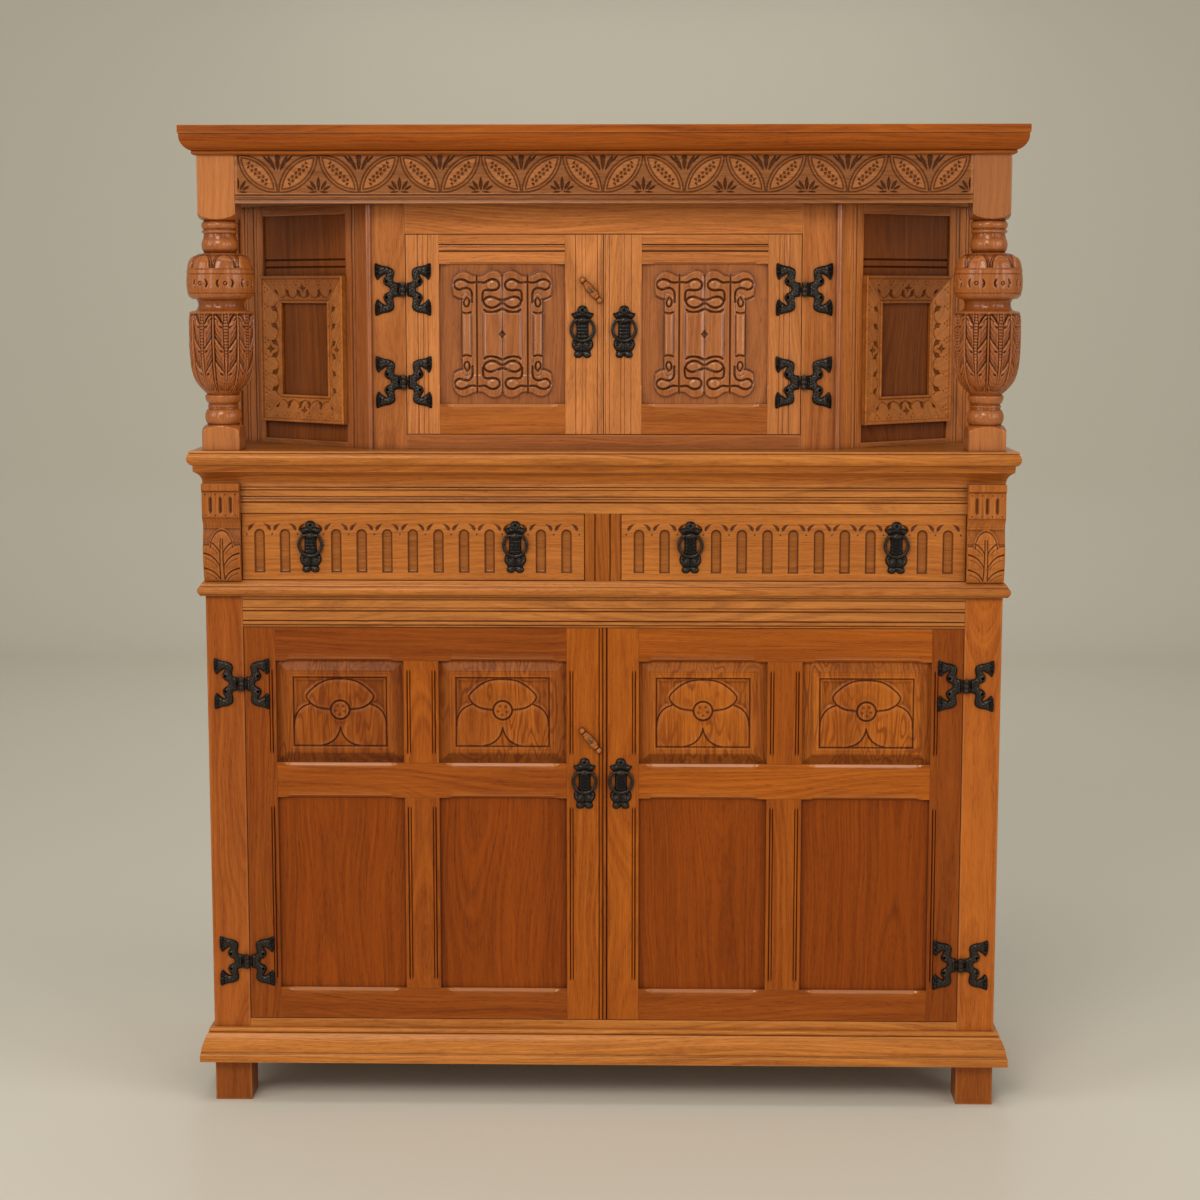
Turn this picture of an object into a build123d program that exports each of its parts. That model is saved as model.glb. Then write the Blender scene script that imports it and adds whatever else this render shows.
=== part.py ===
from build123d import *
import math
import os

os.makedirs("parts", exist_ok=True)

# A joined oak court cupboard: a canopy on two turned pillars over a recessed cupboard with
# canted sides, and below it two drawers over a pair of framed and panelled doors.
# Frame: x to the right, y to the back, z up, origin on the floor at the middle of the bounding box.

# ---- driving dimensions, in millimetres --------------------------------------------------

# carcase in plan
carcase_width = 1240
carcase_depth = 430
post_size = 58
rear_post_depth = 45
board_thickness = 22
side_panel_setback = 11
back_board_thickness = 8
back_board_count = 8

# heights, stacked from the floor
foot_height = 68
bottom_rail_height = 67
lower_opening_height = 631
waist_rail_height = 73
drawer_opening_height = 105
top_rail_height = 75
shelf_thickness = 22
upper_sill_height = 22.4
upper_opening_height = 310
upper_head_height = 46.6
soffit_thickness = 12
roof_void_height = 81
top_board_thickness = 22
frieze_drop = 4
frieze_thickness = 25
side_frieze_thickness = 20

# planted mouldings: how far each stands out, and how tall it is
cornice_overhang = 24
cornice_fillet = 12.5
cornice_ovolo = 28.5
cornice_bead = 6.5
cornice_bead_overhang = 7.5
shelf_overhang = 21.5
shelf_nosing_step = 2
shelf_edge_flat = 3
bed_overhang = 14
bed_fillet = 11.5
bed_cove = 16.5
bed_cove_overhang = 10.5
waist_overhang = 11
waist_moulding_height = 24
waist_slope = 6.5
waist_shoulder = 7.5
plinth_overhang = 21
plinth_moulding_height = 53
plinth_fascia = 13
plinth_bead = 8
plinth_bead_overhang = 7.5
plinth_slope_top = 9.5

# scratched reeds on the rails
reed_groove_width = 1.8
reed_groove_depth = 1.6
drawer_rail_grooves = (-6.8, -11.4, -21.3, -25.3, -30.1)
door_rail_grooves = (-5.8, -18.7, -23.6, -39.0)
divider_half_width = 28
divider_groove_offset = 12

# drawers
drawer_gap = 1
drawer_front_thickness = 20
drawer_side_thickness = 10
drawer_bottom_thickness = 5
drawer_bottom_groove = 5
drawer_bottom_rise = 6
drawer_side_drop = 18
drawer_length = 378
running_gap = 0.3
flute_count = 13
flute_pitch = 39.8
flute_width = 16.3
flute_height = 65.5
flute_foot = 13.8
flute_depth = 4
handle_flute_count = 4
guide_height = 20
kicker_thickness = 15

# doors
door_thickness = 20
door_gap = 1
groove_depth = 6
tongue_thickness = 6
panel_clearance = 0.3
lower_hinge_stile = 48.5
lower_meeting_stile = 56
lower_muntin = 54.5
lower_top_rail = 52.5
lower_lock_rail = 55.5
lower_foot_rail = 49.5
lower_lock_height = 309
plain_panel_setback = 7
field_bevel = 14
field_margin = 3
field_height = 5.5
upper_hinge_stile = 51.5
upper_meeting_stile = 59
upper_top_rail = 45.3
upper_foot_rail = 46.8
upper_panel_setback = 6
relief_margin_x = 19.5
relief_margin_z = 11.5
relief_height = 4
strap_groove_width = 2.4
strap_groove_depth = 2
strap_groove_offset = 38.5
rail_groove_inset = (12.4, 20.8)
chamfer_leg = 3.2
chamfer_stop = 22
meeting_bead_width = 6.5

# recessed upper cupboard
upper_setback = 46
upper_side_inset = 257
upper_stile = 55.7
cant_angle = 40
cant_length = 309
cant_stile = 54
cant_outer_stile = 60
cant_thickness = 18
cant_board_thickness = 10
cant_board_setback = 4
cant_sill = 8
cant_head = 15
cant_groove_drop = (66, 79)
cant_frame_bottom = 36
cant_frame_height = 240
cant_frame_member = 47
cant_frame_depth = 13
cant_frame_lip = 4
cant_frame_bead = 5
corner_bead_radius = 4.5
corner_bead_proud = 2.5
side_return_thickness = 18

# inner shelf and its bearers
inner_shelf_height = 500
inner_shelf_thickness = 18
inner_shelf_setback = 83
bearer_size = 18

# brackets over the front posts
bracket_cap = 12
bracket_cap_out = 20
bracket_block = 41
bracket_block_out = 16
bracket_neck_out = 8
bracket_leaf_out = 15
bracket_foot_out = 6
bracket_cove = 13

# iron hinges with curled arms
hinge_axis_proud = 4.5
hinge_axis_offset = 4.5
knuckle_radius = 4.2
knuckle_length = 7
knuckle_gap = 0.3
hinge_pin_radius = 1.5
pin_clearance = 0.05
leaf_thickness = 2
leaf_inner = 5
leaf_under_gap = 0.3
forged_flat_count = 8
hinge_arm_reach = 44.1
hinge_arm_height = 40.3
lower_hinge_drop = 89.5
lower_hinge_rise = 92.5
upper_hinge_drop = 84.3
upper_hinge_rise = 80.6

# ring pulls
plate_thickness = 2
plate_length = 81.1
plate_half_width = 17.6
plate_above_eye = 22.7
eye_width = 11.5
eye_radius = 4.2
ring_wire_radius = 2.4
ring_radius = 17.8
ring_drop = 14.1
ring_gap = 0.3
ring_side_count = 10
ring_flat_count = 6
lower_handle_x = 28.5
lower_handle_rise = 42.2
upper_handle_x = 32.3
upper_handle_rise = 22.6
drawer_handle_drop = 34.2

# wooden turn-buttons
button_length = 50
button_width = 12
button_tip_width = 9
button_thickness = 7
button_chamfer = 1.5
button_gap = 0.3
button_tilt = 50
button_x = 19
lower_button_rise = 37.7
upper_button_drop = 86.2
screw_radius = 1.9
screw_head_radius = 3.8
screw_head_height = 1.8
screw_depth = 12

# ---- places worked out from the sizes -----------------------------------------------------

half_width = carcase_width / 2
front = (cornice_overhang - carcase_depth) / 2
back = front + carcase_depth
post_inner = half_width - post_size
side_inner = half_width - board_thickness
post_back = front + post_size
rear_post_front = back - rear_post_depth
back_board_front = back - back_board_thickness

bottom_rail_top = foot_height + bottom_rail_height
waist_bottom = bottom_rail_top + lower_opening_height
waist_top = waist_bottom + waist_rail_height
drawer_head = waist_top + drawer_opening_height
shelf_bottom = drawer_head + top_rail_height
shelf_top = shelf_bottom + shelf_thickness
upper_sill_top = shelf_top + upper_sill_height
upper_opening_top = upper_sill_top + upper_opening_height
soffit_bottom = upper_opening_top + upper_head_height
soffit_top = soffit_bottom + soffit_thickness
top_board_bottom = soffit_top + roof_void_height
total_height = top_board_bottom + top_board_thickness
frieze_bottom = soffit_bottom - frieze_drop
upper_front = front + upper_setback
upper_half_front = half_width - upper_side_inset
upper_opening_half = upper_half_front - upper_stile
cant_tan = math.tan(math.radians(cant_angle / 2))
return_tan = math.tan(math.radians((90 - cant_angle) / 2))
cant_cos = math.cos(math.radians(cant_angle))
cant_sin = math.sin(math.radians(cant_angle))
return_outer = upper_half_front + cant_length * cant_cos
return_front = upper_front + cant_length * cant_sin
eye_setback = plate_thickness + ring_gap + ring_wire_radius
cant_place = Plane(origin=(upper_half_front, upper_front, 0), x_dir=(cant_cos, cant_sin, 0), z_dir=(0, 0, 1))


# ---- shared operations --------------------------------------------------------------------

def block(x_range, y_range, z_range):
    """A rectangular piece between pairs of coordinates."""
    (x0, x1), (y0, y1), (z0, z1) = x_range, y_range, z_range
    return Pos((x0 + x1) / 2, (y0 + y1) / 2, (z0 + z1) / 2) * Box(x1 - x0, y1 - y0, z1 - z0)


def prism(points, bottom, top):
    """An upright piece with the given plan."""
    plan = Pos(0, 0, bottom) * Polygon(*points, align=None)
    return extrude(plan, top - bottom, dir=(0, 0, 1))


def section(start, *steps):
    """A face whose outline leaves start by lines (x, y) and arcs (through x, y, to x, y)."""
    outline = Curve()
    here = start
    for step in steps:
        if len(step) == 2:
            outline += Line(here, step)
            here = step
        else:
            outline += ThreePointArc(here, step[:2], step[2:])
            here = step[2:]
    outline += Line(here, start)
    return make_face(outline)


def scaled(points, across, up):
    """Points of a shape listed in parts of its width and height."""
    return [(x * across, y * up) for x, y in points]


def mirrored(pieces):
    return [mirror(piece, about=Plane.YZ) for piece in pieces]


def both_sides(pieces):
    return [*pieces, *mirrored(pieces)]


def save(name, pieces):
    solids = [solid for piece in pieces for solid in piece.solids()]
    export_step(Compound(solids), f"parts/{name}.step")


def cut_by(piece, tools):
    for tool in tools:
        piece -= tool
    return piece


def planted_moulding(shape, overhang, low, high):
    """Three mitred lengths of a moulding round the front and both ends; the section has x outward."""
    reach = half_width + overhang
    face = front - overhang
    front_plane = Plane(origin=(0, front, 0), x_dir=(0, -1, 0), z_dir=(-1, 0, 0))
    side_plane = Plane(origin=(half_width, front, 0), x_dir=(1, 0, 0), z_dir=(0, -1, 0))
    front_plan = [(-reach, face), (reach, face), (half_width, front), (-half_width, front)]
    side_plan = [(half_width, front), (reach, face), (reach, back), (half_width, back)]
    front_run = extrude(front_plane * shape, reach, both=True)
    side_run = extrude(side_plane * shape, carcase_depth + overhang, both=True)
    front_length = front_run & prism(front_plan, low, high)
    side_length = side_run & prism(side_plan, low, high)
    return [front_length, *both_sides([side_length])]


def grooved_along_x(piece, half_length, face, heights):
    """Scratches level grooves across a front face."""
    for height in heights:
        tool = block(
            (-half_length, half_length),
            (face - reed_groove_depth, face + reed_groove_depth),
            (height - reed_groove_width / 2, height + reed_groove_width / 2),
        )
        piece -= tool
    return piece


def stopped_chamfer(piece, start, end):
    """Takes the arris off along a straight edge, short of both ends."""
    (x0, y0, z0), (x1, y1, z1) = start, end
    middle = Pos((x0 + x1) / 2, (y0 + y1) / 2, (z0 + z1) / 2)
    side = chamfer_leg * math.sqrt(2)
    if abs(x1 - x0) > abs(z1 - z0):
        tool = middle * Rot(45, 0, 0) * Box(abs(x1 - x0) - 2 * chamfer_stop, side, side)
    else:
        tool = middle * Rot(0, 0, 45) * Box(side, side, abs(z1 - z0) - 2 * chamfer_stop)
    return piece - tool


# ---- carcase ------------------------------------------------------------------------------

def front_posts():
    """Square posts that run down past the plinth as the feet."""
    return both_sides([block((post_inner, half_width), (front, post_back), (0, shelf_bottom))])


def rear_posts():
    return both_sides([block((post_inner, half_width), (rear_post_front, back), (0, shelf_bottom))])


def bottom_rails():
    """Rails behind the plinth moulding: front, back and both sides."""
    levels = (foot_height, bottom_rail_top)
    front_rail = block((-post_inner, post_inner), (front, front + board_thickness), levels)
    back_rail = block(
        (-post_inner, post_inner), (back_board_front - board_thickness, back_board_front), levels
    )
    side_rail = block((side_inner, half_width), (post_back, rear_post_front), levels)
    return [front_rail, back_rail, *both_sides([side_rail])]


lock_rail_bottom = bottom_rail_top + door_gap + lower_foot_rail + lower_lock_height
side_rail_levels = (
    (lock_rail_bottom, lock_rail_bottom + lower_lock_rail),
    (waist_top - waist_rail_height / 2 - post_size / 2, waist_top),
    (drawer_head, shelf_bottom),
)


def side_panel_openings():
    """Bottom and top of each opening of a side frame."""
    edges = [bottom_rail_top]
    for low, high in side_rail_levels:
        edges += [low, high]
    return [(edges[i], edges[i + 1]) for i in range(0, len(edges) - 1, 2)]


def side_panel(opening, clearance):
    """A flat panel that stands in grooves of the side frame."""
    low, high = opening
    reach = groove_depth - clearance
    face = half_width - side_panel_setback
    return block(
        (face - tongue_thickness, face),
        (post_back - reach, rear_post_front + reach),
        (low - reach, high + reach),
    )


def side_panels():
    return both_sides([side_panel(opening, panel_clearance) for opening in side_panel_openings()])


def side_grooves():
    return both_sides([side_panel(opening, 0) for opening in side_panel_openings()])


def side_rails():
    rails = [
        block((side_inner, half_width), (post_back, rear_post_front), levels) for levels in side_rail_levels
    ]
    return both_sides(rails)


def waist_rail():
    """Rail between the drawers and the doors, reeded on its lower half."""
    rail = block((-post_inner, post_inner), (front, front + board_thickness), (waist_bottom, waist_top))
    datum = waist_top - waist_moulding_height
    heights = [datum + drop for drop in door_rail_grooves]
    return [grooved_along_x(rail, post_inner, front, heights)]


def drawer_rail():
    """Reeded rail over the drawers."""
    rail = block((-post_inner, post_inner), (front, front + board_thickness), (drawer_head, shelf_bottom))
    datum = shelf_bottom - bed_fillet - bed_cove
    heights = [datum + drop for drop in drawer_rail_grooves]
    return [grooved_along_x(rail, post_inner, front, heights)]


def drawer_divider():
    """Short upright between the drawers, with two scratched lines."""
    upright = block(
        (-divider_half_width, divider_half_width), (front, front + board_thickness), (waist_top, drawer_head)
    )
    for side in (-1, 1):
        middle = side * divider_groove_offset
        upright -= block(
            (middle - reed_groove_width / 2, middle + reed_groove_width / 2),
            (front - reed_groove_depth, front + reed_groove_depth),
            (waist_top, drawer_head),
        )
    return [upright]


def notched_board(low, high, front_edge, back_edge):
    """A level board fitted round the four posts."""
    middle = block((-post_inner, post_inner), (front_edge, back_edge), (low, high))
    wings = block((-side_inner, side_inner), (post_back, rear_post_front), (low, high))
    return middle + wings


def bottom_board():
    return [
        notched_board(
            bottom_rail_top - soffit_thickness,
            bottom_rail_top,
            front + board_thickness,
            back_board_front - board_thickness,
        )
    ]


def dust_board():
    """Thin deck that the drawers slide on."""
    return [
        notched_board(waist_top - soffit_thickness, waist_top, front + board_thickness, back_board_front)
    ]


def drawer_guides():
    """Strips that guide the drawers at the sides and keep them from tipping."""
    low = (waist_top, waist_top + guide_height)
    high = (drawer_head - kicker_thickness + running_gap, drawer_head)
    run = (front + board_thickness, back_board_front)
    middle_guide = block((-divider_half_width, divider_half_width), run, low)
    side_guide = block((post_inner, side_inner), (post_back, rear_post_front), low)
    middle_kicker = block((-post_size, post_size), run, high)
    side_kicker = block((post_inner - post_size / 2, side_inner), (post_back, rear_post_front), high)
    return [middle_guide, middle_kicker, *both_sides([side_guide, side_kicker])]


def inner_shelf():
    """Loose shelf on two bearers inside the lower cupboard."""
    shelf = block(
        (-side_inner + door_gap, side_inner - door_gap),
        (front + inner_shelf_setback, rear_post_front - door_gap),
        (inner_shelf_height, inner_shelf_height + inner_shelf_thickness),
    )
    bearer = block(
        (side_inner - bearer_size, side_inner),
        (post_back, rear_post_front),
        (inner_shelf_height - bearer_size, inner_shelf_height),
    )
    return [shelf, *both_sides([bearer])]


def back_boards():
    """Upright boards nailed on behind, below and above the shelf."""
    boards = []
    for reach, low, high in (
        (post_inner, foot_height, shelf_bottom),
        (half_width - side_frieze_thickness, shelf_top, top_board_bottom),
    ):
        board_width = 2 * reach / back_board_count
        for i in range(back_board_count):
            left = -reach + i * board_width
            boards.append(
                block((left, left + board_width - running_gap), (back_board_front, back), (low, high))
            )
    return boards


def plinth_moulding():
    low = foot_height
    high = foot_height + plinth_moulding_height
    bead_low = high - plinth_bead
    slope_middle = (low + plinth_fascia + bead_low) / 2
    shape = section(
        (0, low),
        (plinth_overhang, low),
        (plinth_overhang, low + plinth_fascia),
        (plinth_overhang - 1, low + plinth_fascia + 1),
        (plinth_overhang - 3.5, slope_middle, plinth_slope_top, bead_low),
        (plinth_bead_overhang - 2, bead_low),
        (plinth_bead_overhang, bead_low + plinth_bead / 2, plinth_bead_overhang - 2.5, high),
        (0, high),
    )
    return planted_moulding(shape, plinth_overhang, low, high)


def waist_moulding():
    high = waist_top
    low = waist_top - waist_moulding_height
    nose_top = high - waist_slope - 1.5
    shape = section(
        (0, low),
        (waist_shoulder, low),
        (waist_overhang, (low + nose_top) / 2, waist_shoulder, nose_top),
        (waist_shoulder, high - waist_slope),
        (0, high),
    )
    return planted_moulding(shape, waist_overhang, low, high)


def bed_moulding():
    """Cove and fillet under the edge of the shelf."""
    high = shelf_bottom
    fillet_low = high - bed_fillet
    low = fillet_low - bed_cove
    shape = section(
        (0, low),
        (bed_cove_overhang * 0.3, low + bed_cove * 0.7, bed_cove_overhang, fillet_low),
        (bed_overhang - 1, fillet_low),
        (bed_overhang, high),
        (0, high),
    )
    return planted_moulding(shape, bed_overhang, low, high)


def shelf_board():
    """Broad top of the lower stage with a nosed edge."""
    core = block((-half_width, half_width), (front, back), (shelf_bottom, shelf_top))
    flat_low = shelf_top - shelf_edge_flat
    edge = section(
        (0, shelf_bottom),
        (shelf_overhang - 2 * shelf_nosing_step, shelf_bottom),
        (shelf_overhang, (shelf_bottom + flat_low) / 2, shelf_overhang - shelf_nosing_step, flat_low),
        (shelf_overhang - shelf_nosing_step - 1, flat_low),
        (shelf_overhang - shelf_nosing_step - 1, shelf_top),
        (0, shelf_top),
    )
    board = core
    for length in planted_moulding(edge, shelf_overhang, shelf_bottom, shelf_top):
        board += length
    return [board]


def brackets():
    """Carved brackets planted on the post faces beside the drawers."""
    top = shelf_bottom - bed_fillet - bed_cove
    cap_low = top - bracket_cap
    block_low = cap_low - bracket_block
    leaf_top = block_low - bracket_cove
    leaf_middle = (leaf_top + waist_top) / 2
    shape = section(
        (0, waist_top),
        (bracket_foot_out, waist_top),
        (bracket_leaf_out, leaf_middle, bracket_neck_out, leaf_top),
        (bracket_neck_out + 1, leaf_top + bracket_cove * 0.65, bracket_block_out, block_low),
        (bracket_block_out, cap_low),
        (bracket_cap_out, cap_low + 2),
        (bracket_cap_out, top),
        (0, top),
    )
    place = Plane(origin=(post_inner, front, 0), x_dir=(0, -1, 0), z_dir=(-1, 0, 0))
    return both_sides([extrude(place * shape, -post_size)])


# ---- turned pillars ---------------------------------------------------------------------------

block_foot_height = 40
block_head_height = 119.5
turned_shoulder = 11
shoulder_radius = 24
pillar_radius = 52


def square_with_shoulder(low, high, rise):
    """A square length of the pillar whose upper or lower end is turned down to a cone."""
    half = post_size / 2
    length = block((-half, half), (-half, half), (low, high))
    corner = half * math.sqrt(2)
    far, near = (low, high) if rise > 0 else (high, low)
    cone = section((0, far), (corner, far), (corner, near - rise), (shoulder_radius, near), (0, near))
    return length & revolve(Plane.XZ * cone, Axis.Z)


def pillar():
    """Cup-and-cover pillar turned between a square foot and a square head.

    The profile is listed in parts of the cup's radius and of the turned length.
    """
    low = shelf_top + block_foot_height
    head_low = top_board_bottom - block_head_height
    base = [(0.542, 0.0257), (0.542, 0.0514), (0.431, 0.077)]
    ring = [(0.431, 0.1027), (0.531, 0.1348), (0.512, 0.1518)]
    cup_foot = [(0.671, 0.1824), (0.79, 0.2077), (0.9, 0.2515)]
    cup_swell = [(0.985, 0.3933), (0.987, 0.5265)]
    rim = [(0.935, 0.5586), (0.681, 0.5714), (0.696, 0.61), (0.962, 0.6388)]
    cover_swell = [(1.008, 0.7), (0.992, 0.76)]
    dome = [(0.95, 0.7888), (0.89, 0.8128), (0.77, 0.8296), (0.506, 0.8424)]
    vase = [(0.481, 0.8475), (0.542, 0.8796), (0.477, 0.9342)]
    collar = [(0.531, 0.9483), (0.481, 0.9599), (0.542, 0.9807)]

    def turned_points(part):
        return [(x, low + height) for x, height in scaled(part, pillar_radius, head_low - low)]

    def arc(part):
        (x0, y0), (x1, y1) = turned_points(part)
        return [(x0, y0, x1, y1)]

    turned = section(
        (0, low),
        (shoulder_radius, low),
        *turned_points([*base, *ring, *cup_foot]),
        *arc(cup_swell),
        *turned_points(rim),
        *arc(cover_swell),
        *turned_points([*dome, *vase, *collar]),
        (shoulder_radius, head_low),
        (0, head_low),
    )
    x = half_width - post_size / 2
    y = front + post_size / 2
    foot = square_with_shoulder(shelf_top, low, turned_shoulder)
    head = square_with_shoulder(head_low, top_board_bottom, -turned_shoulder)
    return Pos(x, y, 0) * (foot + revolve(Plane.XZ * turned, Axis.Z) + head)


def pillars():
    return both_sides([pillar()])


# ---- canopy -------------------------------------------------------------------------------------

def frieze():
    """Front board between the pillar heads and plain boards down both ends."""
    levels = (frieze_bottom, top_board_bottom)
    board = block((-post_inner, post_inner), (front, front + frieze_thickness), levels)
    board = grooved_along_x(board, post_inner, front, [frieze_bottom + 6.5, frieze_bottom + 12])
    end = block((half_width - side_frieze_thickness, half_width), (post_back, back), levels)
    return [board, *both_sides([end])]


def soffit_board():
    """Ceiling of the canopy, notched round the pillar heads."""
    reach = half_width - side_frieze_thickness
    levels = (soffit_bottom, soffit_top)
    board = block((-reach, reach), (front + frieze_thickness, back_board_front), levels)
    for head in both_sides([block((post_inner, half_width), (front, post_back), levels)]):
        board -= head
    return [board]


def top_board():
    return [block((-half_width, half_width), (front, back), (top_board_bottom, total_height))]


def cornice():
    """Fillet, ovolo and bead round the top."""
    high = total_height
    ovolo_top = high - cornice_fillet
    bead_top = ovolo_top - cornice_ovolo
    low = bead_top - cornice_bead
    shape = section(
        (0, low),
        (1, low),
        (cornice_bead_overhang - 1.2, low + 2, cornice_bead_overhang, bead_top),
        (cornice_bead_overhang + 0.5, bead_top),
        (cornice_overhang - 5, ovolo_top - cornice_ovolo * 0.55, cornice_overhang, ovolo_top),
        (cornice_overhang, high),
        (0, high),
    )
    return planted_moulding(shape, cornice_overhang, low, high)


# ---- recessed cupboard --------------------------------------------------------------------------

def face_frame():
    """Stiles, sill and head of the recessed cupboard's front."""
    levels = (shelf_top, soffit_bottom)
    depth = (upper_front, upper_front + board_thickness)
    mitre = board_thickness * cant_tan
    stile_plan = [
        (upper_opening_half, depth[0]),
        (upper_half_front, depth[0]),
        (upper_half_front - mitre, depth[1]),
        (upper_opening_half, depth[1]),
    ]
    stile = prism(stile_plan, *levels)
    sill = block((-upper_opening_half, upper_opening_half), depth, (shelf_top, upper_sill_top))
    head = block((-upper_opening_half, upper_opening_half), depth, (upper_opening_top, soffit_bottom))
    return [sill, head, *both_sides([stile])]


board_start = cant_stile
board_end = cant_length - cant_outer_stile


def cant_board(clearance):
    """Board that stands in grooves between the canted stiles."""
    reach = groove_depth - clearance
    return block(
        (board_start - reach, board_end + reach),
        (cant_board_setback, cant_board_setback + cant_board_thickness),
        (shelf_top + cant_sill - reach, soffit_bottom - cant_head + reach),
    )


def cant_frames():
    """Stiles and rails of the two canted sides, mitred to their neighbours."""
    levels = (shelf_top, soffit_bottom)
    inner_plan = [
        (0, 0),
        (cant_stile, 0),
        (cant_stile, cant_thickness),
        (cant_thickness * cant_tan, cant_thickness),
    ]
    outer_plan = [
        (board_end, 0),
        (cant_length, 0),
        (cant_length - cant_thickness * return_tan, cant_thickness),
        (board_end, cant_thickness),
    ]
    depth = (0, cant_thickness)
    sill = block((board_start, board_end), depth, (shelf_top, shelf_top + cant_sill))
    head = block((board_start, board_end), depth, (soffit_bottom - cant_head, soffit_bottom))
    members = [prism(inner_plan, *levels), prism(outer_plan, *levels), sill, head]
    grooved = [cant_place.location * (member - cant_board(0)) for member in members]
    return both_sides(grooved)


def cant_boards():
    board = cant_board(panel_clearance)
    for drop in cant_groove_drop:
        height = soffit_bottom - cant_head - drop
        board -= block(
            (board_start, board_end),
            (0, cant_board_setback + reed_groove_depth),
            (height - reed_groove_width, height + reed_groove_width),
        )
    return both_sides([cant_place.location * board])


def cant_mouldings():
    """Mitred picture-frame mouldings planted on the canted boards, sloping in to the middle."""
    wide = board_end - board_start
    tall = cant_frame_height
    low = shelf_top + cant_frame_bottom
    lip = cant_board_setback - cant_frame_depth
    shape = section(
        (0, 0),
        (0, cant_frame_depth),
        (cant_frame_bead, cant_frame_depth),
        (cant_frame_bead, cant_frame_depth - 2),
        (cant_frame_member - cant_frame_bead, cant_frame_lip),
        (cant_frame_member - cant_frame_bead, cant_frame_lip + 2),
        (cant_frame_member, cant_frame_lip + 2),
        (cant_frame_member, 0),
    )
    lengths = []
    for turn, run, reach in ((0, wide, tall), (90, tall, wide), (180, wide, tall), (270, tall, wide)):
        plane = Plane(origin=(0, -reach / 2, 0), x_dir=(0, 1, 0), z_dir=(1, 0, 0))
        stick = extrude(plane * shape, run / 2, both=True)
        half, member = run / 2, cant_frame_member
        plan = [(-half, -reach / 2), (half, -reach / 2), (half - member, member - reach / 2)]
        plan += [(member - half, member - reach / 2)]
        stick = stick & prism(plan, 0, cant_frame_depth)
        lengths.append(Rot(0, 0, turn) * stick)
    stand = Pos(board_start + wide / 2, cant_board_setback, low + tall / 2) * Rot(90, 0, 0)
    return both_sides([cant_place.location * stand * length for length in lengths])


def corner_beads():
    """Upright beads planted over the mitres of the canted sides."""
    levels = (shelf_top, frieze_bottom)
    beads = []
    far = 10 * corner_bead_radius
    for x, y, before, after in (
        (upper_half_front, upper_front, 0, cant_angle),
        (return_outer, return_front, cant_angle, 90),
    ):
        bisector = math.radians((before + after) / 2)
        centre = (
            x + corner_bead_proud * math.sin(bisector),
            y - corner_bead_proud * math.cos(bisector),
        )
        first = math.radians(before + 180)
        second = math.radians(after)
        wall = [
            (x, y),
            (x + far * math.cos(second), y + far * math.sin(second)),
            (x - far * math.sin(bisector) * 2, y + far * math.cos(bisector) * 2),
            (x + far * math.cos(first), y + far * math.sin(first)),
        ]
        round_bead = Pos(*centre, levels[0]) * extrude(Circle(corner_bead_radius), levels[1] - levels[0])
        beads.append(round_bead - prism(wall, *levels))
    return both_sides(beads)


def side_returns():
    """Short straight ends of the recessed cupboard, behind the canted sides."""
    plan = [
        (return_outer, return_front),
        (return_outer, back_board_front),
        (return_outer - side_return_thickness, back_board_front),
        (return_outer - side_return_thickness, return_front + side_return_thickness * return_tan),
    ]
    return both_sides([prism(plan, shelf_top, soffit_bottom)])


# ---- ironwork --------------------------------------------------------------------------------------

def forged_round(radius, length):
    """A forged bar or eye: a round with small flats, along z."""
    return extrude(RegularPolygon(radius, forged_flat_count), length / 2, both=True)


def mirrored_outline(half):
    """A face from the right half of its outline, top to bottom."""
    return Polygon(*half, *[(-x, y) for x, y in reversed(half)], align=None)


def curled_arm():
    """Outline of a hinge leaf's upper half: a root and an arm that curls to a fishtail.

    The curve is listed in parts of the arm's reach and height.
    """
    root = [(leaf_inner, 0), (leaf_inner, 1.5 * knuckle_length + knuckle_gap)]
    outer_bend = [(0.34, 0.323), (0.304, 0.645), (0.385, 0.814), (0.721, 0.903)]
    fishtail = [(0.934, 1), (1, 0.744), (0.902, 0.352)]
    inner_bend = [(0.771, 0.496), (0.567, 0.605)]
    lobe = [(0.707, 0.337), (0.601, 0.124), (0.476, 0)]
    arm = scaled([*outer_bend, *fishtail, *inner_bend, *lobe], hinge_arm_reach, hinge_arm_height)
    return Polygon(*root, *arm, align=None)


def hinge_leaf(outer_knuckles):
    """One leaf in its own frame: pin along z at the origin, leaf towards +x, wood face at +y."""
    arm = curled_arm()
    face = hinge_axis_proud
    upright = Plane(origin=(0, face, 0), x_dir=(1, 0, 0), z_dir=(0, -1, 0))
    flat = arm + mirror(arm, about=Plane.XZ)
    leaf = extrude(upright * flat, leaf_thickness, dir=(0, -1, 0))
    pitch = knuckle_length + knuckle_gap
    levels = (-pitch, pitch) if outer_knuckles else (0,)
    for level in levels:
        knuckle = Pos(0, 0, level) * forged_round(knuckle_radius, knuckle_length)
        neck = block(
            (0, leaf_inner + 1),
            (face - leaf_thickness, face - leaf_under_gap),
            (level - knuckle_length / 2, level + knuckle_length / 2),
        )
        leaf += knuckle + neck
    if outer_knuckles:
        return leaf + forged_round(hinge_pin_radius, 2 * pitch)
    return leaf - forged_round(bore_radius(hinge_pin_radius), 2 * pitch)


def bore_radius(pin_radius):
    """Corner radius of a bore whose flats clear the pin all round."""
    return (pin_radius + pin_clearance) / math.cos(math.pi / forged_flat_count)


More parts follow.
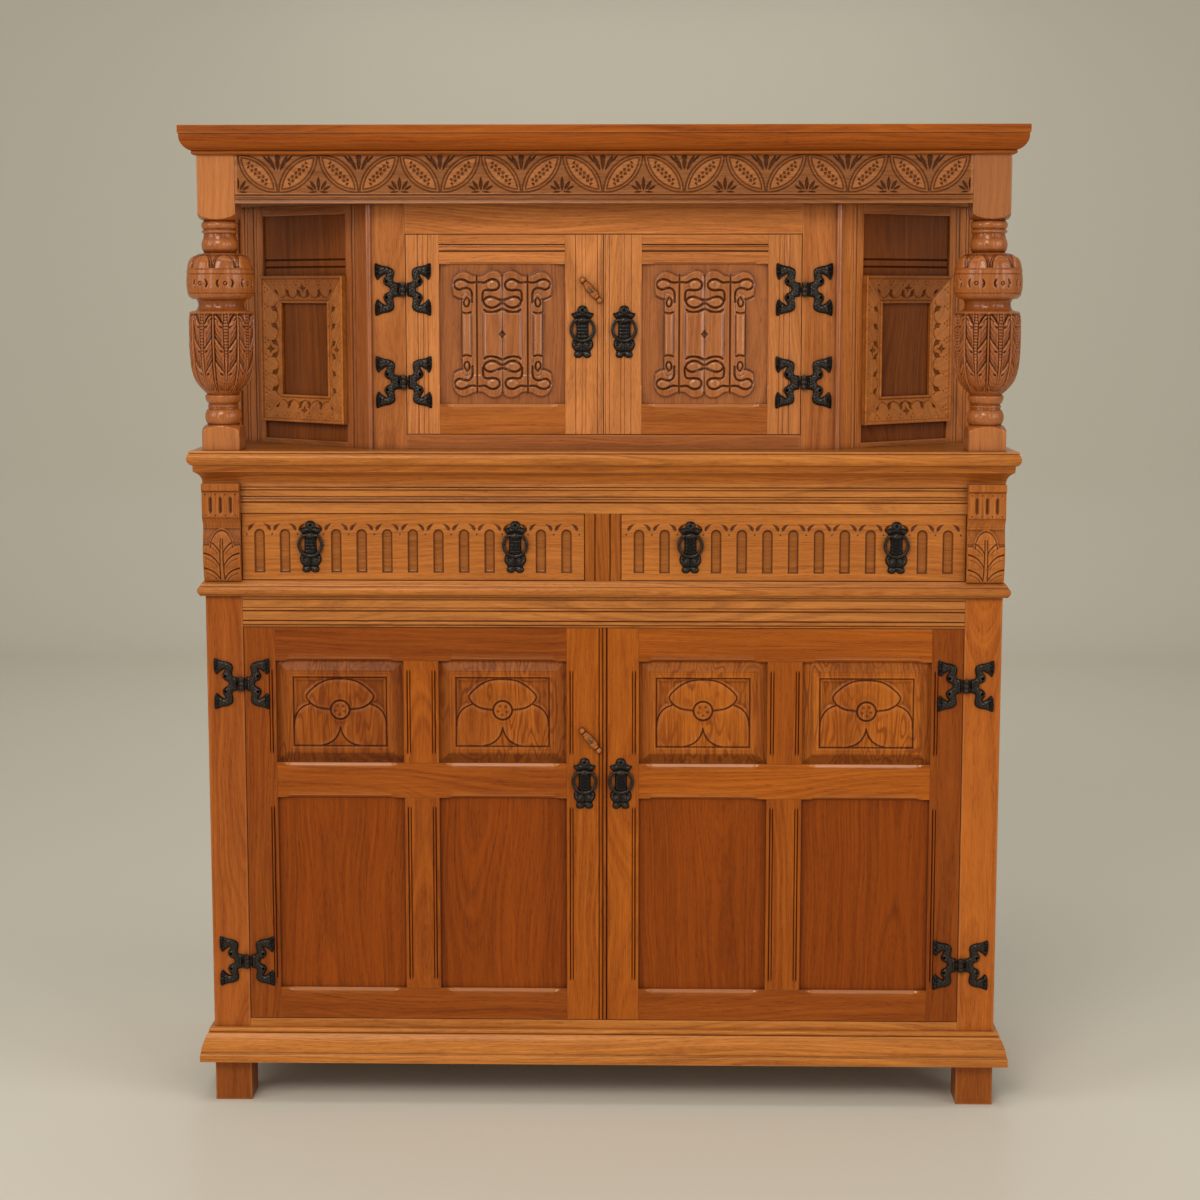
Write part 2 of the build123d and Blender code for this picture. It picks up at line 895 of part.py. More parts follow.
def ring_plate():
    """Cast back plate of a ring pull with its eye; the eye's bore is at the origin.

    The outline is listed in parts of the plate's half width and length, from its top.
    """
    crown = [(0.227, 0), (0.42, 0.048), (0.455, 0.101)]
    shoulder = [(1, 0.157), (0.739, 0.253), (0.528, 0.292)]
    tongue = [(0.528, 0.609)]
    scroll = [(0.875, 0.672), (0.966, 0.767), (0.682, 0.875)]
    foot = [(0.773, 0.958), (0.398, 1)]
    notch = [(0, 0.946), (-0.17, 1.02), (0.17, 1.02)]
    half = scaled([*crown, *shoulder, *tongue, *scroll, *foot], plate_half_width, -plate_length)
    cut = Polygon(*scaled(notch, plate_half_width, -plate_length), align=None)
    outline = Pos(0, plate_above_eye) * (mirrored_outline(half) - cut)
    upright = Plane(origin=(0, eye_setback, 0), x_dir=(1, 0, 0), z_dir=(0, -1, 0))
    plate = extrude(upright * outline, plate_thickness, dir=(0, -1, 0))
    eye = Rot(0, 90, 0) * forged_round(eye_radius, eye_width)
    eye -= block((-eye_width, eye_width), (eye_setback, eye_setback + eye_radius), (-eye_radius, eye_radius))
    return plate + eye - Rot(0, 90, 0) * forged_round(bore_radius(ring_wire_radius), 2 * eye_width)


def ring():
    """Drop ring with a straight bar that turns in the eye; the bar's axis is at the origin."""
    start_angle = math.asin(ring_drop / ring_radius)
    sweep_angle = math.pi + 2 * start_angle
    corners = []
    for i in range(ring_side_count + 1):
        angle = start_angle - sweep_angle * i / ring_side_count
        corners.append((ring_radius * math.cos(angle), 0, ring_radius * math.sin(angle) - ring_drop))
    path = Polyline(*corners)
    start = Plane(origin=path @ 0, z_dir=path % 0)
    wire = sweep(start * RegularPolygon(ring_wire_radius, ring_flat_count), path, transition=Transition.RIGHT)
    bar_length = 2 * (ring_radius * math.cos(start_angle) + ring_wire_radius)
    return wire + Rot(0, 90, 0) * forged_round(ring_wire_radius, bar_length)


def handle_at(x, face, z):
    """Place of a ring pull's eye on a front face."""
    return Pos(x, face - eye_setback, z)


def turn_button():
    """Boat-shaped wooden latch in its own frame: screw axis along y, wood face at y = 0."""
    half = button_length / 2
    waist, tip = button_width / 2, button_tip_width / 2
    above = [(0, waist), (half - tip, tip), (half, tip / 3)]
    outline = mirrored_outline([*above, *[(x, -y) for x, y in reversed(above)]])
    upright = Plane(origin=(0, -button_gap, 0), x_dir=(1, 0, 0), z_dir=(0, -1, 0))
    body = extrude(upright * outline, button_thickness, dir=(0, -1, 0))
    body = chamfer(body.faces().sort_by(Axis.Y)[0].edges(), button_chamfer)
    bore = Rot(90, 0, 0) * forged_round(bore_radius(screw_radius), 4 * button_thickness)
    return Rot(0, button_tilt, 0) * (body - bore)


def button_screw():
    """Screw that the turn-button turns on, driven into the door stile."""
    head_low = -button_gap - button_thickness - button_gap
    shank_length = screw_depth - head_low
    shank_place = Pos(0, screw_depth - shank_length / 2, 0) * Rot(90, 0, 0)
    head_place = Pos(0, head_low - screw_head_height / 2, 0) * Rot(90, 0, 0)
    shank = shank_place * forged_round(screw_radius, shank_length)
    return shank + head_place * forged_round(screw_head_radius, screw_head_height)


def screw_hole():
    return Pos(0, screw_depth / 2, 0) * Rot(90, 0, 0) * forged_round(screw_radius, screw_depth)


# ---- doors -----------------------------------------------------------------------------------------

def panel_pocket(opening, face, setback, clearance):
    """Space that a panel's edges take in the grooves of its frame."""
    (x0, x1), (z0, z1) = opening
    reach = groove_depth - clearance
    return block(
        (x0 - reach, x1 + reach),
        (face + setback, face + setback + tongue_thickness),
        (z0 - reach, z1 + reach),
    )


def fielded_panel(opening, face, setback):
    """Panel with a raised field and bevelled margins."""
    (x0, x1), (z0, z1) = opening
    panel = panel_pocket(opening, face, setback, panel_clearance)
    middle = ((x0 + x1) / 2, face + setback, (z0 + z1) / 2)
    plane = Plane(origin=middle, x_dir=(1, 0, 0), z_dir=(0, -1, 0))
    wide, tall = x1 - x0, z1 - z0
    base = plane * Rectangle(wide - 2 * field_margin, tall - 2 * field_margin)
    inset = 2 * (field_margin + field_bevel)
    top = plane.offset(field_height) * Rectangle(wide - inset, tall - inset)
    return panel + loft([base.face(), top.face()])


def carved_field_panel(opening, face, setback):
    """Flat panel with a block of relief left standing for the carved straps."""
    (x0, x1), (z0, z1) = opening
    panel = panel_pocket(opening, face, setback, panel_clearance)
    middle = (x0 + x1) / 2
    relief = block(
        (x0 + relief_margin_x, x1 - relief_margin_x),
        (face + setback - relief_height, face + setback),
        (z0 + relief_margin_z, z1 - relief_margin_z),
    )
    for side in (-1, 1):
        line = middle + side * strap_groove_offset
        relief -= block(
            (line - strap_groove_width / 2, line + strap_groove_width / 2),
            (face + setback - 2 * relief_height, face + setback - relief_height + strap_groove_depth),
            (z0, z1),
        )
    return panel + relief


lower_door_x = (door_gap / 2, post_inner - door_gap)
lower_door_z = (bottom_rail_top + door_gap, waist_bottom - door_gap)
upper_door_x = (door_gap / 2, upper_opening_half - door_gap)
upper_door_z = (upper_sill_top + door_gap, upper_opening_top - door_gap)


def lower_door_openings():
    """Panel openings of the right lower door: two small over two tall."""
    left = lower_door_x[0] + lower_meeting_stile
    right = lower_door_x[1] - lower_hinge_stile
    muntin_left = (left + right - lower_muntin) / 2
    columns = [(left, muntin_left), (muntin_left + lower_muntin, right)]
    foot_top = lower_door_z[0] + lower_foot_rail
    tall_row = (foot_top, foot_top + lower_lock_height)
    small_row = (tall_row[1] + lower_lock_rail, lower_door_z[1] - lower_top_rail)
    return columns, tall_row, small_row


def lower_door_frame():
    columns, tall_row, small_row = lower_door_openings()
    depth = (front, front + door_thickness)
    left, right = columns[0][0], columns[1][1]
    muntin = (columns[0][1], columns[1][0])
    meeting = block((lower_door_x[0], left), depth, lower_door_z)
    hanging = block((right, lower_door_x[1]), depth, lower_door_z)
    bead = lower_door_x[0] + meeting_bead_width
    meeting -= block(
        (bead - reed_groove_width / 2, bead + reed_groove_width / 2),
        (front - reed_groove_depth, front + reed_groove_depth),
        lower_door_z,
    )
    top = block((left, right), depth, (small_row[1], lower_door_z[1]))
    lock = block((left, right), depth, (tall_row[1], small_row[0]))
    foot = block((left, right), depth, (lower_door_z[0], tall_row[0]))
    for x0, x1 in columns:
        top = stopped_chamfer(top, (x0, front, small_row[1]), (x1, front, small_row[1]))
        lock = stopped_chamfer(lock, (x0, front, tall_row[1]), (x1, front, tall_row[1]))
        lock = stopped_chamfer(lock, (x0, front, small_row[0]), (x1, front, small_row[0]))
        foot = stopped_chamfer(foot, (x0, front, tall_row[0]), (x1, front, tall_row[0]))
    muntins = [block(muntin, depth, small_row), block(muntin, depth, tall_row)]
    pockets = [panel_pocket((column, row), front, plain_panel_setback, 0)
               for column in columns for row in (tall_row, small_row)]
    return [cut_by(member, pockets) for member in (meeting, hanging, top, lock, foot, *muntins)]


def lower_door_panels():
    columns, tall_row, small_row = lower_door_openings()
    plain = [
        panel_pocket((column, tall_row), front, plain_panel_setback, panel_clearance) for column in columns
    ]
    fielded = [fielded_panel((column, small_row), front, plain_panel_setback) for column in columns]
    return plain + fielded


def upper_door_opening():
    left = upper_door_x[0] + upper_meeting_stile
    right = upper_door_x[1] - upper_hinge_stile
    return (left, right), (upper_door_z[0] + upper_foot_rail, upper_door_z[1] - upper_top_rail)


def upper_door_frame():
    (left, right), (low, high) = upper_door_opening()
    depth = (upper_front, upper_front + door_thickness)
    meeting = block((upper_door_x[0], left), depth, upper_door_z)
    hanging = block((right, upper_door_x[1]), depth, upper_door_z)
    top = block((left, right), depth, (high, upper_door_z[1]))
    for inset in rail_groove_inset:
        height = upper_door_z[1] - inset
        top -= block(
            (left, right),
            (upper_front - reed_groove_depth, upper_front + reed_groove_depth),
            (height - reed_groove_width / 2, height + reed_groove_width / 2),
        )
    top = stopped_chamfer(top, (left, upper_front, high), (right, upper_front, high))
    foot = block((left, right), depth, (upper_door_z[0], low))
    foot = stopped_chamfer(foot, (left, upper_front, low), (right, upper_front, low))
    pocket = panel_pocket(((left, right), (low, high)), upper_front, upper_panel_setback, 0)
    return [member - pocket for member in (meeting, hanging, top, foot)]


def upper_door_panel():
    return [carved_field_panel(upper_door_opening(), upper_front, upper_panel_setback)]


lower_hinge_axis = (lower_door_x[1] + hinge_axis_offset, front - hinge_axis_proud)
upper_hinge_axis = (upper_door_x[1] + hinge_axis_offset, upper_front - hinge_axis_proud)
lower_hinge_levels = (lower_door_z[0] + lower_hinge_rise, lower_door_z[1] - lower_hinge_drop)
upper_hinge_levels = (upper_door_z[0] + upper_hinge_rise, upper_door_z[1] - upper_hinge_drop)
lower_handle_z = lock_rail_bottom + lower_handle_rise
upper_handle_z = (upper_sill_top + upper_opening_top) / 2 + upper_handle_rise
drawer_handle_z = drawer_head - drawer_handle_drop
lower_button_z = lock_rail_bottom + lower_lock_rail + lower_button_rise
upper_button_z = upper_opening_top - upper_button_drop


def leaves(axis, levels, on_door):
    """Leaves for a right-hand door: towards the door, or towards the post."""
    leaf = hinge_leaf(not on_door)
    if on_door:
        leaf = mirror(leaf, about=Plane.YZ)
    return [Pos(*axis, level) * leaf for level in levels]


def save_door_pair(stage, frame, panels, axis, levels, face, handle, button_z):
    """Writes both doors of a pair; the left one also carries the turn-button and its screw."""
    handle_x, handle_z = handle
    iron = leaves(axis, levels, True)
    plate = handle_at(handle_x, face, handle_z) * ring_plate()
    pull = handle_at(handle_x, face, handle_z) * ring()
    button_place = Pos(-button_x, face, button_z)
    save(f"{stage}_right_door_frame", frame)
    save(f"{stage}_right_door_panels", panels)
    save(f"{stage}_right_door_irons", [*iron, plate])
    save(f"{stage}_right_ring", [pull])
    left_frame = [member - button_place * screw_hole() for member in mirrored(frame)]
    save(f"{stage}_left_door_frame", left_frame)
    save(f"{stage}_left_door_panels", mirrored(panels))
    save(f"{stage}_left_door_irons", [*mirrored([*iron, plate]), button_place * button_screw()])
    save(f"{stage}_left_ring", mirrored([pull]))
    save(f"{stage}_turn_button", [button_place * turn_button()])


# ---- drawers ---------------------------------------------------------------------------------------

drawer_x = (divider_half_width + drawer_gap, post_inner - drawer_gap)
drawer_z = (waist_top + drawer_gap, drawer_head - drawer_gap)
drawer_middle = (drawer_x[0] + drawer_x[1]) / 2
handle_steps = (-handle_flute_count, handle_flute_count)


def flute_cutter():
    """Upright flute with a round head and a square foot."""
    radius = flute_width / 2
    straight = flute_height - radius
    head = Pos(0, straight) * Circle(radius)
    outline = Pos(0, straight / 2) * Rectangle(flute_width, straight) + head
    plane = Plane(origin=(0, front, 0), x_dir=(1, 0, 0), z_dir=(0, -1, 0))
    return extrude(plane * outline, -flute_depth)


def drawer_front():
    """Front carved with a row of flutes; the handle plates cover two of their places."""
    board = block(drawer_x, (front, front + drawer_front_thickness), drawer_z)
    cutter = flute_cutter()
    first = -(flute_count // 2)
    for step in range(first, first + flute_count):
        if step not in handle_steps:
            board -= Pos(drawer_middle + step * flute_pitch, 0, drawer_z[0] + flute_foot) * cutter
    groove_low = waist_top + running_gap + drawer_bottom_rise
    inner = front + drawer_front_thickness
    board -= block(
        (drawer_x[0] + drawer_side_thickness, drawer_x[1] - drawer_side_thickness),
        (inner - drawer_bottom_groove, inner),
        (groove_low, groove_low + drawer_bottom_thickness),
    )
    return [board]


def drawer_box():
    """Two sides, a back and a thin bottom in grooves."""
    inner = front + drawer_front_thickness
    far = front + drawer_length
    low = waist_top + running_gap
    high = drawer_z[1] - drawer_side_drop
    bottom_low = low + drawer_bottom_rise
    bottom_high = bottom_low + drawer_bottom_thickness
    x0, x1 = drawer_x
    left, right = x0 + drawer_side_thickness, x1 - drawer_side_thickness
    groove = drawer_bottom_groove
    bottom = block((left - groove, right + groove), (inner, far), (bottom_low, bottom_high))
    tongue = block((left, right), (inner - groove, inner), (bottom_low, bottom_high))
    sides = [
        block((x0, left), (inner, far), (low, high)) - bottom,
        block((right, x1), (inner, far), (low, high)) - bottom,
    ]
    rear = block((left, right), (far - drawer_side_thickness, far), (bottom_high, high))
    return [*sides, rear, bottom + tongue]


def save_drawers():
    """Writes both drawers with their plates and rings."""
    places = [
        handle_at(drawer_middle + step * flute_pitch, front, drawer_handle_z) for step in handle_steps
    ]
    plates = [place * ring_plate() for place in places]
    rings = [place * ring() for place in places]
    save("right_drawer_front", drawer_front())
    save("right_drawer_box", drawer_box())
    save("right_drawer_plates", plates)
    save("right_drawer_inner_ring", [rings[0]])
    save("right_drawer_outer_ring", [rings[1]])
    save("left_drawer_front", mirrored(drawer_front()))
    save("left_drawer_box", mirrored(drawer_box()))
    save("left_drawer_plates", mirrored(plates))
    save("left_drawer_inner_ring", mirrored([rings[0]]))
    save("left_drawer_outer_ring", mirrored([rings[1]]))


# ---- write every node ------------------------------------------------------------------------------

grooves = side_grooves()
save("front_posts", [cut_by(post, grooves) for post in front_posts()])
save("rear_posts", [cut_by(post, grooves) for post in rear_posts()])
save("bottom_rails", [cut_by(rail, grooves) for rail in bottom_rails()])
save("side_rails", [cut_by(rail, grooves) for rail in side_rails()])
save("side_panels", side_panels())
save("waist_rail", waist_rail())
save("drawer_rail", drawer_rail())
save("drawer_divider", drawer_divider())
save("bottom_board", bottom_board())
save("dust_board", dust_board())
save("drawer_guides", drawer_guides())
save("inner_shelf", inner_shelf())
save("back_boards", back_boards())
save("plinth_moulding", plinth_moulding())
save("waist_moulding", waist_moulding())
save("bed_moulding", bed_moulding())
save("shelf_board", shelf_board())
save("brackets", brackets())
save("pillars", pillars())
save("frieze", frieze())
save("soffit_board", soffit_board())
save("top_board", top_board())
save("cornice", cornice())
save("face_frame", face_frame())
save("cant_frames", cant_frames())
save("cant_boards", cant_boards())
save("cant_mouldings", cant_mouldings())
save("corner_beads", corner_beads())
save("side_returns", side_returns())
save(
    "fixed_hinge_leaves",
    both_sides([
        *leaves(lower_hinge_axis, lower_hinge_levels, False),
        *leaves(upper_hinge_axis, upper_hinge_levels, False),
    ]),
)
save_door_pair(
    "lower",
    lower_door_frame(),
    lower_door_panels(),
    lower_hinge_axis,
    lower_hinge_levels,
    front,
    (lower_handle_x, lower_handle_z),
    lower_button_z,
)
save_door_pair(
    "upper",
    upper_door_frame(),
    upper_door_panel(),
    upper_hinge_axis,
    upper_hinge_levels,
    upper_front,
    (upper_handle_x, upper_handle_z),
    upper_button_z,
)
save_drawers()
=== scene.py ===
import math

import bpy
import numpy as np
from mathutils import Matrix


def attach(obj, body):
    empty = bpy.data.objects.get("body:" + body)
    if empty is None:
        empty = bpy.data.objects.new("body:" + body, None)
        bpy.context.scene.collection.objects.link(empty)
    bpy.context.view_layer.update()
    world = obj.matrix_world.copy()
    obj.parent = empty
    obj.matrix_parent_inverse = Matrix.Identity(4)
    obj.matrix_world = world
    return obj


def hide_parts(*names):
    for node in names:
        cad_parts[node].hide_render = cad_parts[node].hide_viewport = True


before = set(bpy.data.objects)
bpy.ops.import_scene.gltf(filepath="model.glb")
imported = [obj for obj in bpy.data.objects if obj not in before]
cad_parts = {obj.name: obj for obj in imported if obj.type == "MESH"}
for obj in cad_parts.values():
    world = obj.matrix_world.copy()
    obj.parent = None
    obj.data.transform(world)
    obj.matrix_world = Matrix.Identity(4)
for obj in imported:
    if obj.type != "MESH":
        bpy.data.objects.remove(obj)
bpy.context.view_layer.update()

# ---- Viewpoint -----------------------------------------------------------------------------
# A standing viewer in front of the cupboard, a little under four metres off, eye above the
# drawers, looking slightly down and a touch to the left.
eye_place = (0.0734, -3.8547, 1.2862)
eye_down = math.radians(7.437)
eye_left = math.radians(1.218)
eye_lens = 71.06
viewer = bpy.data.objects.new("viewer", bpy.data.cameras.new("viewer"))
viewer.data.lens = eye_lens
viewer.data.sensor_width = 36
viewer.data.sensor_fit = "HORIZONTAL"
viewer.location = eye_place
viewer.rotation_euler = (math.pi / 2 - eye_down, 0, eye_left)
bpy.context.scene.collection.objects.link(viewer)
bpy.context.scene.camera = viewer
bpy.context.scene.view_settings.view_transform = "Standard"

# ---- Room ----------------------------------------------------------------------------------
# A plain pale floor that runs up into a plain wall. One large soft lamp stands in front and above,
# with tall windows beside it, a weaker lamp at each side, one over the cupboard and one behind.
floor_reach = 14
wall_height = 7
wall_distance = 5
wall_bend = 0.6
bend_steps = 12
wall_paint = (0.75, 0.705, 0.585)
lamp_aim = (0, 0, 0.8)


def new_material(name):
    """An empty material, with its tree and its shader."""
    material = bpy.data.materials.new(name)
    material.use_nodes = True
    return material, material.node_tree, material.node_tree.nodes["Principled BSDF"]


def feed(tree, socket, value):
    """Links a socket to another, or sets it to a plain value."""
    if isinstance(value, bpy.types.NodeSocket):
        tree.links.new(value, socket)
    else:
        socket.default_value = value


def node(tree, kind, fed=(), **settings):
    """A new shader node with these inputs fed, each given by its name, and these settings."""
    made = tree.nodes.new("ShaderNode" + kind)
    for label, value in settings.items():
        setattr(made, label, value)
    for label, value in dict(fed).items():
        feed(tree, made.inputs[label], value)
    return made


def matt_paint(name, colour, roughness):
    """A matt paint with the faintest mottling."""
    material, tree, shader = new_material(name)
    mottle = node(tree, "TexNoise", {"Scale": 3})
    tint = node(tree, "ValToRGB", {"Fac": mottle.outputs["Fac"]})
    tint.color_ramp.elements[0].color = (*[c * 0.98 for c in colour], 1)
    tint.color_ramp.elements[1].color = (*colour, 1)
    feed(tree, shader.inputs["Base Color"], tint.outputs["Color"])
    feed(tree, shader.inputs["Roughness"], roughness)
    return material


sweep = [(-floor_reach, 0.0)]
for i in range(bend_steps + 1):
    turn = math.pi / 2 * i / bend_steps
    sweep.append((wall_distance - wall_bend * (1 - math.sin(turn)), wall_bend * (1 - math.cos(turn))))
sweep.append((wall_distance, wall_height))
corners = [(x, y, z) for y, z in sweep for x in (-floor_reach, floor_reach)]
strips = [(2 * i, 2 * i + 1, 2 * i + 3, 2 * i + 2) for i in range(len(sweep) - 1)]
room_mesh = bpy.data.meshes.new("room")
room_mesh.from_pydata(corners, [], strips)
room_mesh.shade_smooth()
room_mesh.materials.append(matt_paint("pale paint", wall_paint, 0.6))
room = bpy.data.objects.new("room", room_mesh)
bpy.context.scene.collection.objects.link(room)


def soft_lamp(name, place, size, power, colour):
    """A large lamp, so wide and so tall, turned towards the middle of the cupboard."""
    lamp = bpy.data.lights.new(name, "AREA")
    lamp.shape = "RECTANGLE"
    lamp.size, lamp.size_y = size
    lamp.energy = power
    lamp.color = colour
    holder = bpy.data.objects.new(name, lamp)
    holder.location = place
    way = [a - p for a, p in zip(lamp_aim, place)]
    tilt = math.atan2(math.hypot(way[0], way[1]), -way[2])
    holder.rotation_euler = (tilt, 0, math.atan2(way[1], way[0]) - math.pi / 2)
    bpy.context.scene.collection.objects.link(holder)


soft_lamp("front lamp", (-1.1, -4.5, 3.8), (1.9, 1.9), 92, (1, 0.97, 0.92))
soft_lamp("right window", (2.2, -4.2, 1.9), (0.5, 2.8), 20, (1, 0.98, 0.95))
soft_lamp("left window", (-2.3, -4.2, 1.9), (0.5, 2.8), 20, (1, 0.98, 0.95))
soft_lamp("left lamp", (-4.2, -2.4, 2.4), (2.2, 2.2), 44, (1, 0.98, 0.95))
soft_lamp("right lamp", (4.2, -2.0, 2.2), (2.2, 2.2), 30, (1, 0.98, 0.95))
soft_lamp("ceiling lamp", (0, -0.7, 3.6), (2.6, 0.8), 16, (1, 0.98, 0.94))
soft_lamp("far window", (3.5, -3.1, 1.8), (0.4, 2.6), 16, (1, 0.98, 0.95))
soft_lamp("back lamp", (0, 4.2, 3.6), (2.5, 2.5), 40, (1, 0.98, 0.95))
daylight = bpy.data.worlds.new("daylight")
daylight.use_nodes = True
daylight.node_tree.nodes["Background"].inputs["Color"].default_value = (0.9, 0.9, 0.88, 1)
daylight.node_tree.nodes["Background"].inputs["Strength"].default_value = 0.26
bpy.context.scene.world = daylight

# ---- Oak finish ----------------------------------------------------------------------------
# Fumed and waxed oak. Each board is cut from round growth rings, with open pores along the grain
# and pale ray flecks across it. Old wax and dust darken corners and carved hollows, with painted
# shade laid in them too, and some edges and upward-facing chamfers carry painted highlights.


def new_group(name, inputs, outputs):
    """An empty node group with the named sockets."""
    tree = bpy.data.node_groups.new(name, "ShaderNodeTree")
    for label, kind, value in inputs:
        socket = tree.interface.new_socket(label, in_out="INPUT", socket_type=kind)
        if value is not None:
            socket.default_value = value
    for label, kind in outputs:
        tree.interface.new_socket(label, in_out="OUTPUT", socket_type=kind)
    return tree, tree.nodes.new("NodeGroupInput"), tree.nodes.new("NodeGroupOutput")


def maths(tree, operation, *values):
    """The outcome of one operation on sockets or plain values."""
    return node(tree, "Math", enumerate(values), operation=operation).outputs["Value"]


def spread(tree, value, low, high, new_low=0.0, new_high=1.0):
    """Stretches a range of values to a new range, and holds them inside it."""
    limits = {"From Min": low, "From Max": high, "To Min": new_low, "To Max": new_high}
    return node(tree, "MapRange", {**limits, "Value": value}).outputs["Result"]


def mixed(tree, factor, first, second, way="MIX"):
    """Mixes two colours."""
    return node(tree, "Mix", {0: factor, 6: first, 7: second}, data_type="RGBA", blend_type=way).outputs[2]


def drawn_noise(tree, vector, stretch, detail, roughness=0.55):
    """Noise whose cells have their own length along each axis."""
    scaled = node(tree, "VectorMath", {0: vector, 1: stretch}, operation="MULTIPLY").outputs["Vector"]
    fed = {"Vector": scaled, "Scale": 1, "Detail": detail, "Roughness": roughness}
    return node(tree, "TexNoise", fed).outputs["Fac"]


def oak_figure_group():
    """Growth rings, pores and ray flecks; x runs along the grain and the heart is at y = z = 0."""
    tree, taken, given = new_group(
        "oak figure",
        [
            ("Grain", "NodeSocketVector", None),
            ("Light", "NodeSocketColor", (0.5, 0.25, 0.1, 1)),
            ("Dark", "NodeSocketColor", (0.2, 0.08, 0.03, 1)),
            ("Fleck", "NodeSocketFloat", 0.5),
        ],
        [("Color", "NodeSocketColor"), ("Pores", "NodeSocketFloat"), ("Height", "NodeSocketFloat")],
    )
    grain = taken.outputs["Grain"]
    parts = node(tree, "SeparateXYZ", {"Vector": grain})
    bow = maths(tree, "MULTIPLY_ADD", drawn_noise(tree, grain, (1.6, 3, 3), 2), 0.07, -0.035)
    lean = maths(tree, "MULTIPLY_ADD", drawn_noise(tree, grain, (2.3, 5, 5), 1), 0.036, -0.018)
    across = maths(tree, "ADD", parts.outputs["Y"], bow)
    deep = maths(tree, "ADD", parts.outputs["Z"], lean)
    squares = maths(tree, "POWER", across, 2.0), maths(tree, "POWER", deep, 2.0)
    radius = maths(tree, "SQRT", maths(tree, "ADD", *squares))
    outward, along = maths(tree, "MULTIPLY", radius, 430.0), maths(tree, "MULTIPLY", parts.outputs["X"], 2.2)
    ring_place = node(tree, "CombineXYZ", {"X": outward, "Y": along}).outputs["Vector"]
    fed = {"Vector": ring_place, "Scale": 1, "Detail": 3.5, "Roughness": 0.62}
    rings = node(tree, "TexNoise", fed, noise_dimensions="2D")
    bands = spread(tree, rings.outputs["Fac"], 0.33, 0.66)
    cloud = spread(tree, drawn_noise(tree, grain, (1.2, 14, 14), 2), 0.3, 0.7)
    fibre = spread(tree, drawn_noise(tree, grain, (22, 620, 620), 2, 0.6), 0.34, 0.66)
    pores = spread(tree, drawn_noise(tree, grain, (60, 1150, 1150), 2, 0.7), 0.56, 0.66)
    pores = maths(tree, "MULTIPLY", pores, spread(tree, bands, 0.75, 0.25, 0.35, 1.0))
    turns = maths(tree, "MULTIPLY", drawn_noise(tree, grain, (9, 42, 42), 1.2, 0.4), 58.0)
    swirl = maths(tree, "SINE", turns)
    patches = spread(tree, drawn_noise(tree, grain, (9, 20, 20), 1), 0.38, 0.54)
    flecks = maths(tree, "MULTIPLY", spread(tree, swirl, 0.1, 0.9), patches)
    flecks = maths(tree, "MULTIPLY", flecks, taken.outputs["Fleck"])
    streaks = spread(tree, drawn_noise(tree, grain, (4, 95, 95), 2), 0.34, 0.66)
    lightness = maths(tree, "MULTIPLY", bands, 0.3)
    lightness = maths(tree, "MULTIPLY_ADD", cloud, 0.26, lightness)
    lightness = maths(tree, "MULTIPLY_ADD", streaks, 0.16, lightness)
    lightness = maths(tree, "MULTIPLY_ADD", fibre, 0.22, lightness)
    lightness = spread(tree, lightness, 0.14, 0.86)
    colour = mixed(tree, lightness, taken.outputs["Dark"], taken.outputs["Light"])
    rayed = mixed(tree, 0.95, colour, taken.outputs["Dark"])
    colour = mixed(tree, maths(tree, "MULTIPLY", flecks, 0.8), colour, rayed)
    pored = mixed(tree, 0.8, colour, taken.outputs["Dark"], "MULTIPLY")
    colour = mixed(tree, maths(tree, "MULTIPLY", pores, 0.7), colour, pored)
    height = maths(tree, "MULTIPLY_ADD", bands, 0.3, maths(tree, "MULTIPLY", pores, -1.0))
    for label, value in (("Color", colour), ("Pores", pores), ("Height", height)):
        feed(tree, given.inputs[label], value)
    return tree


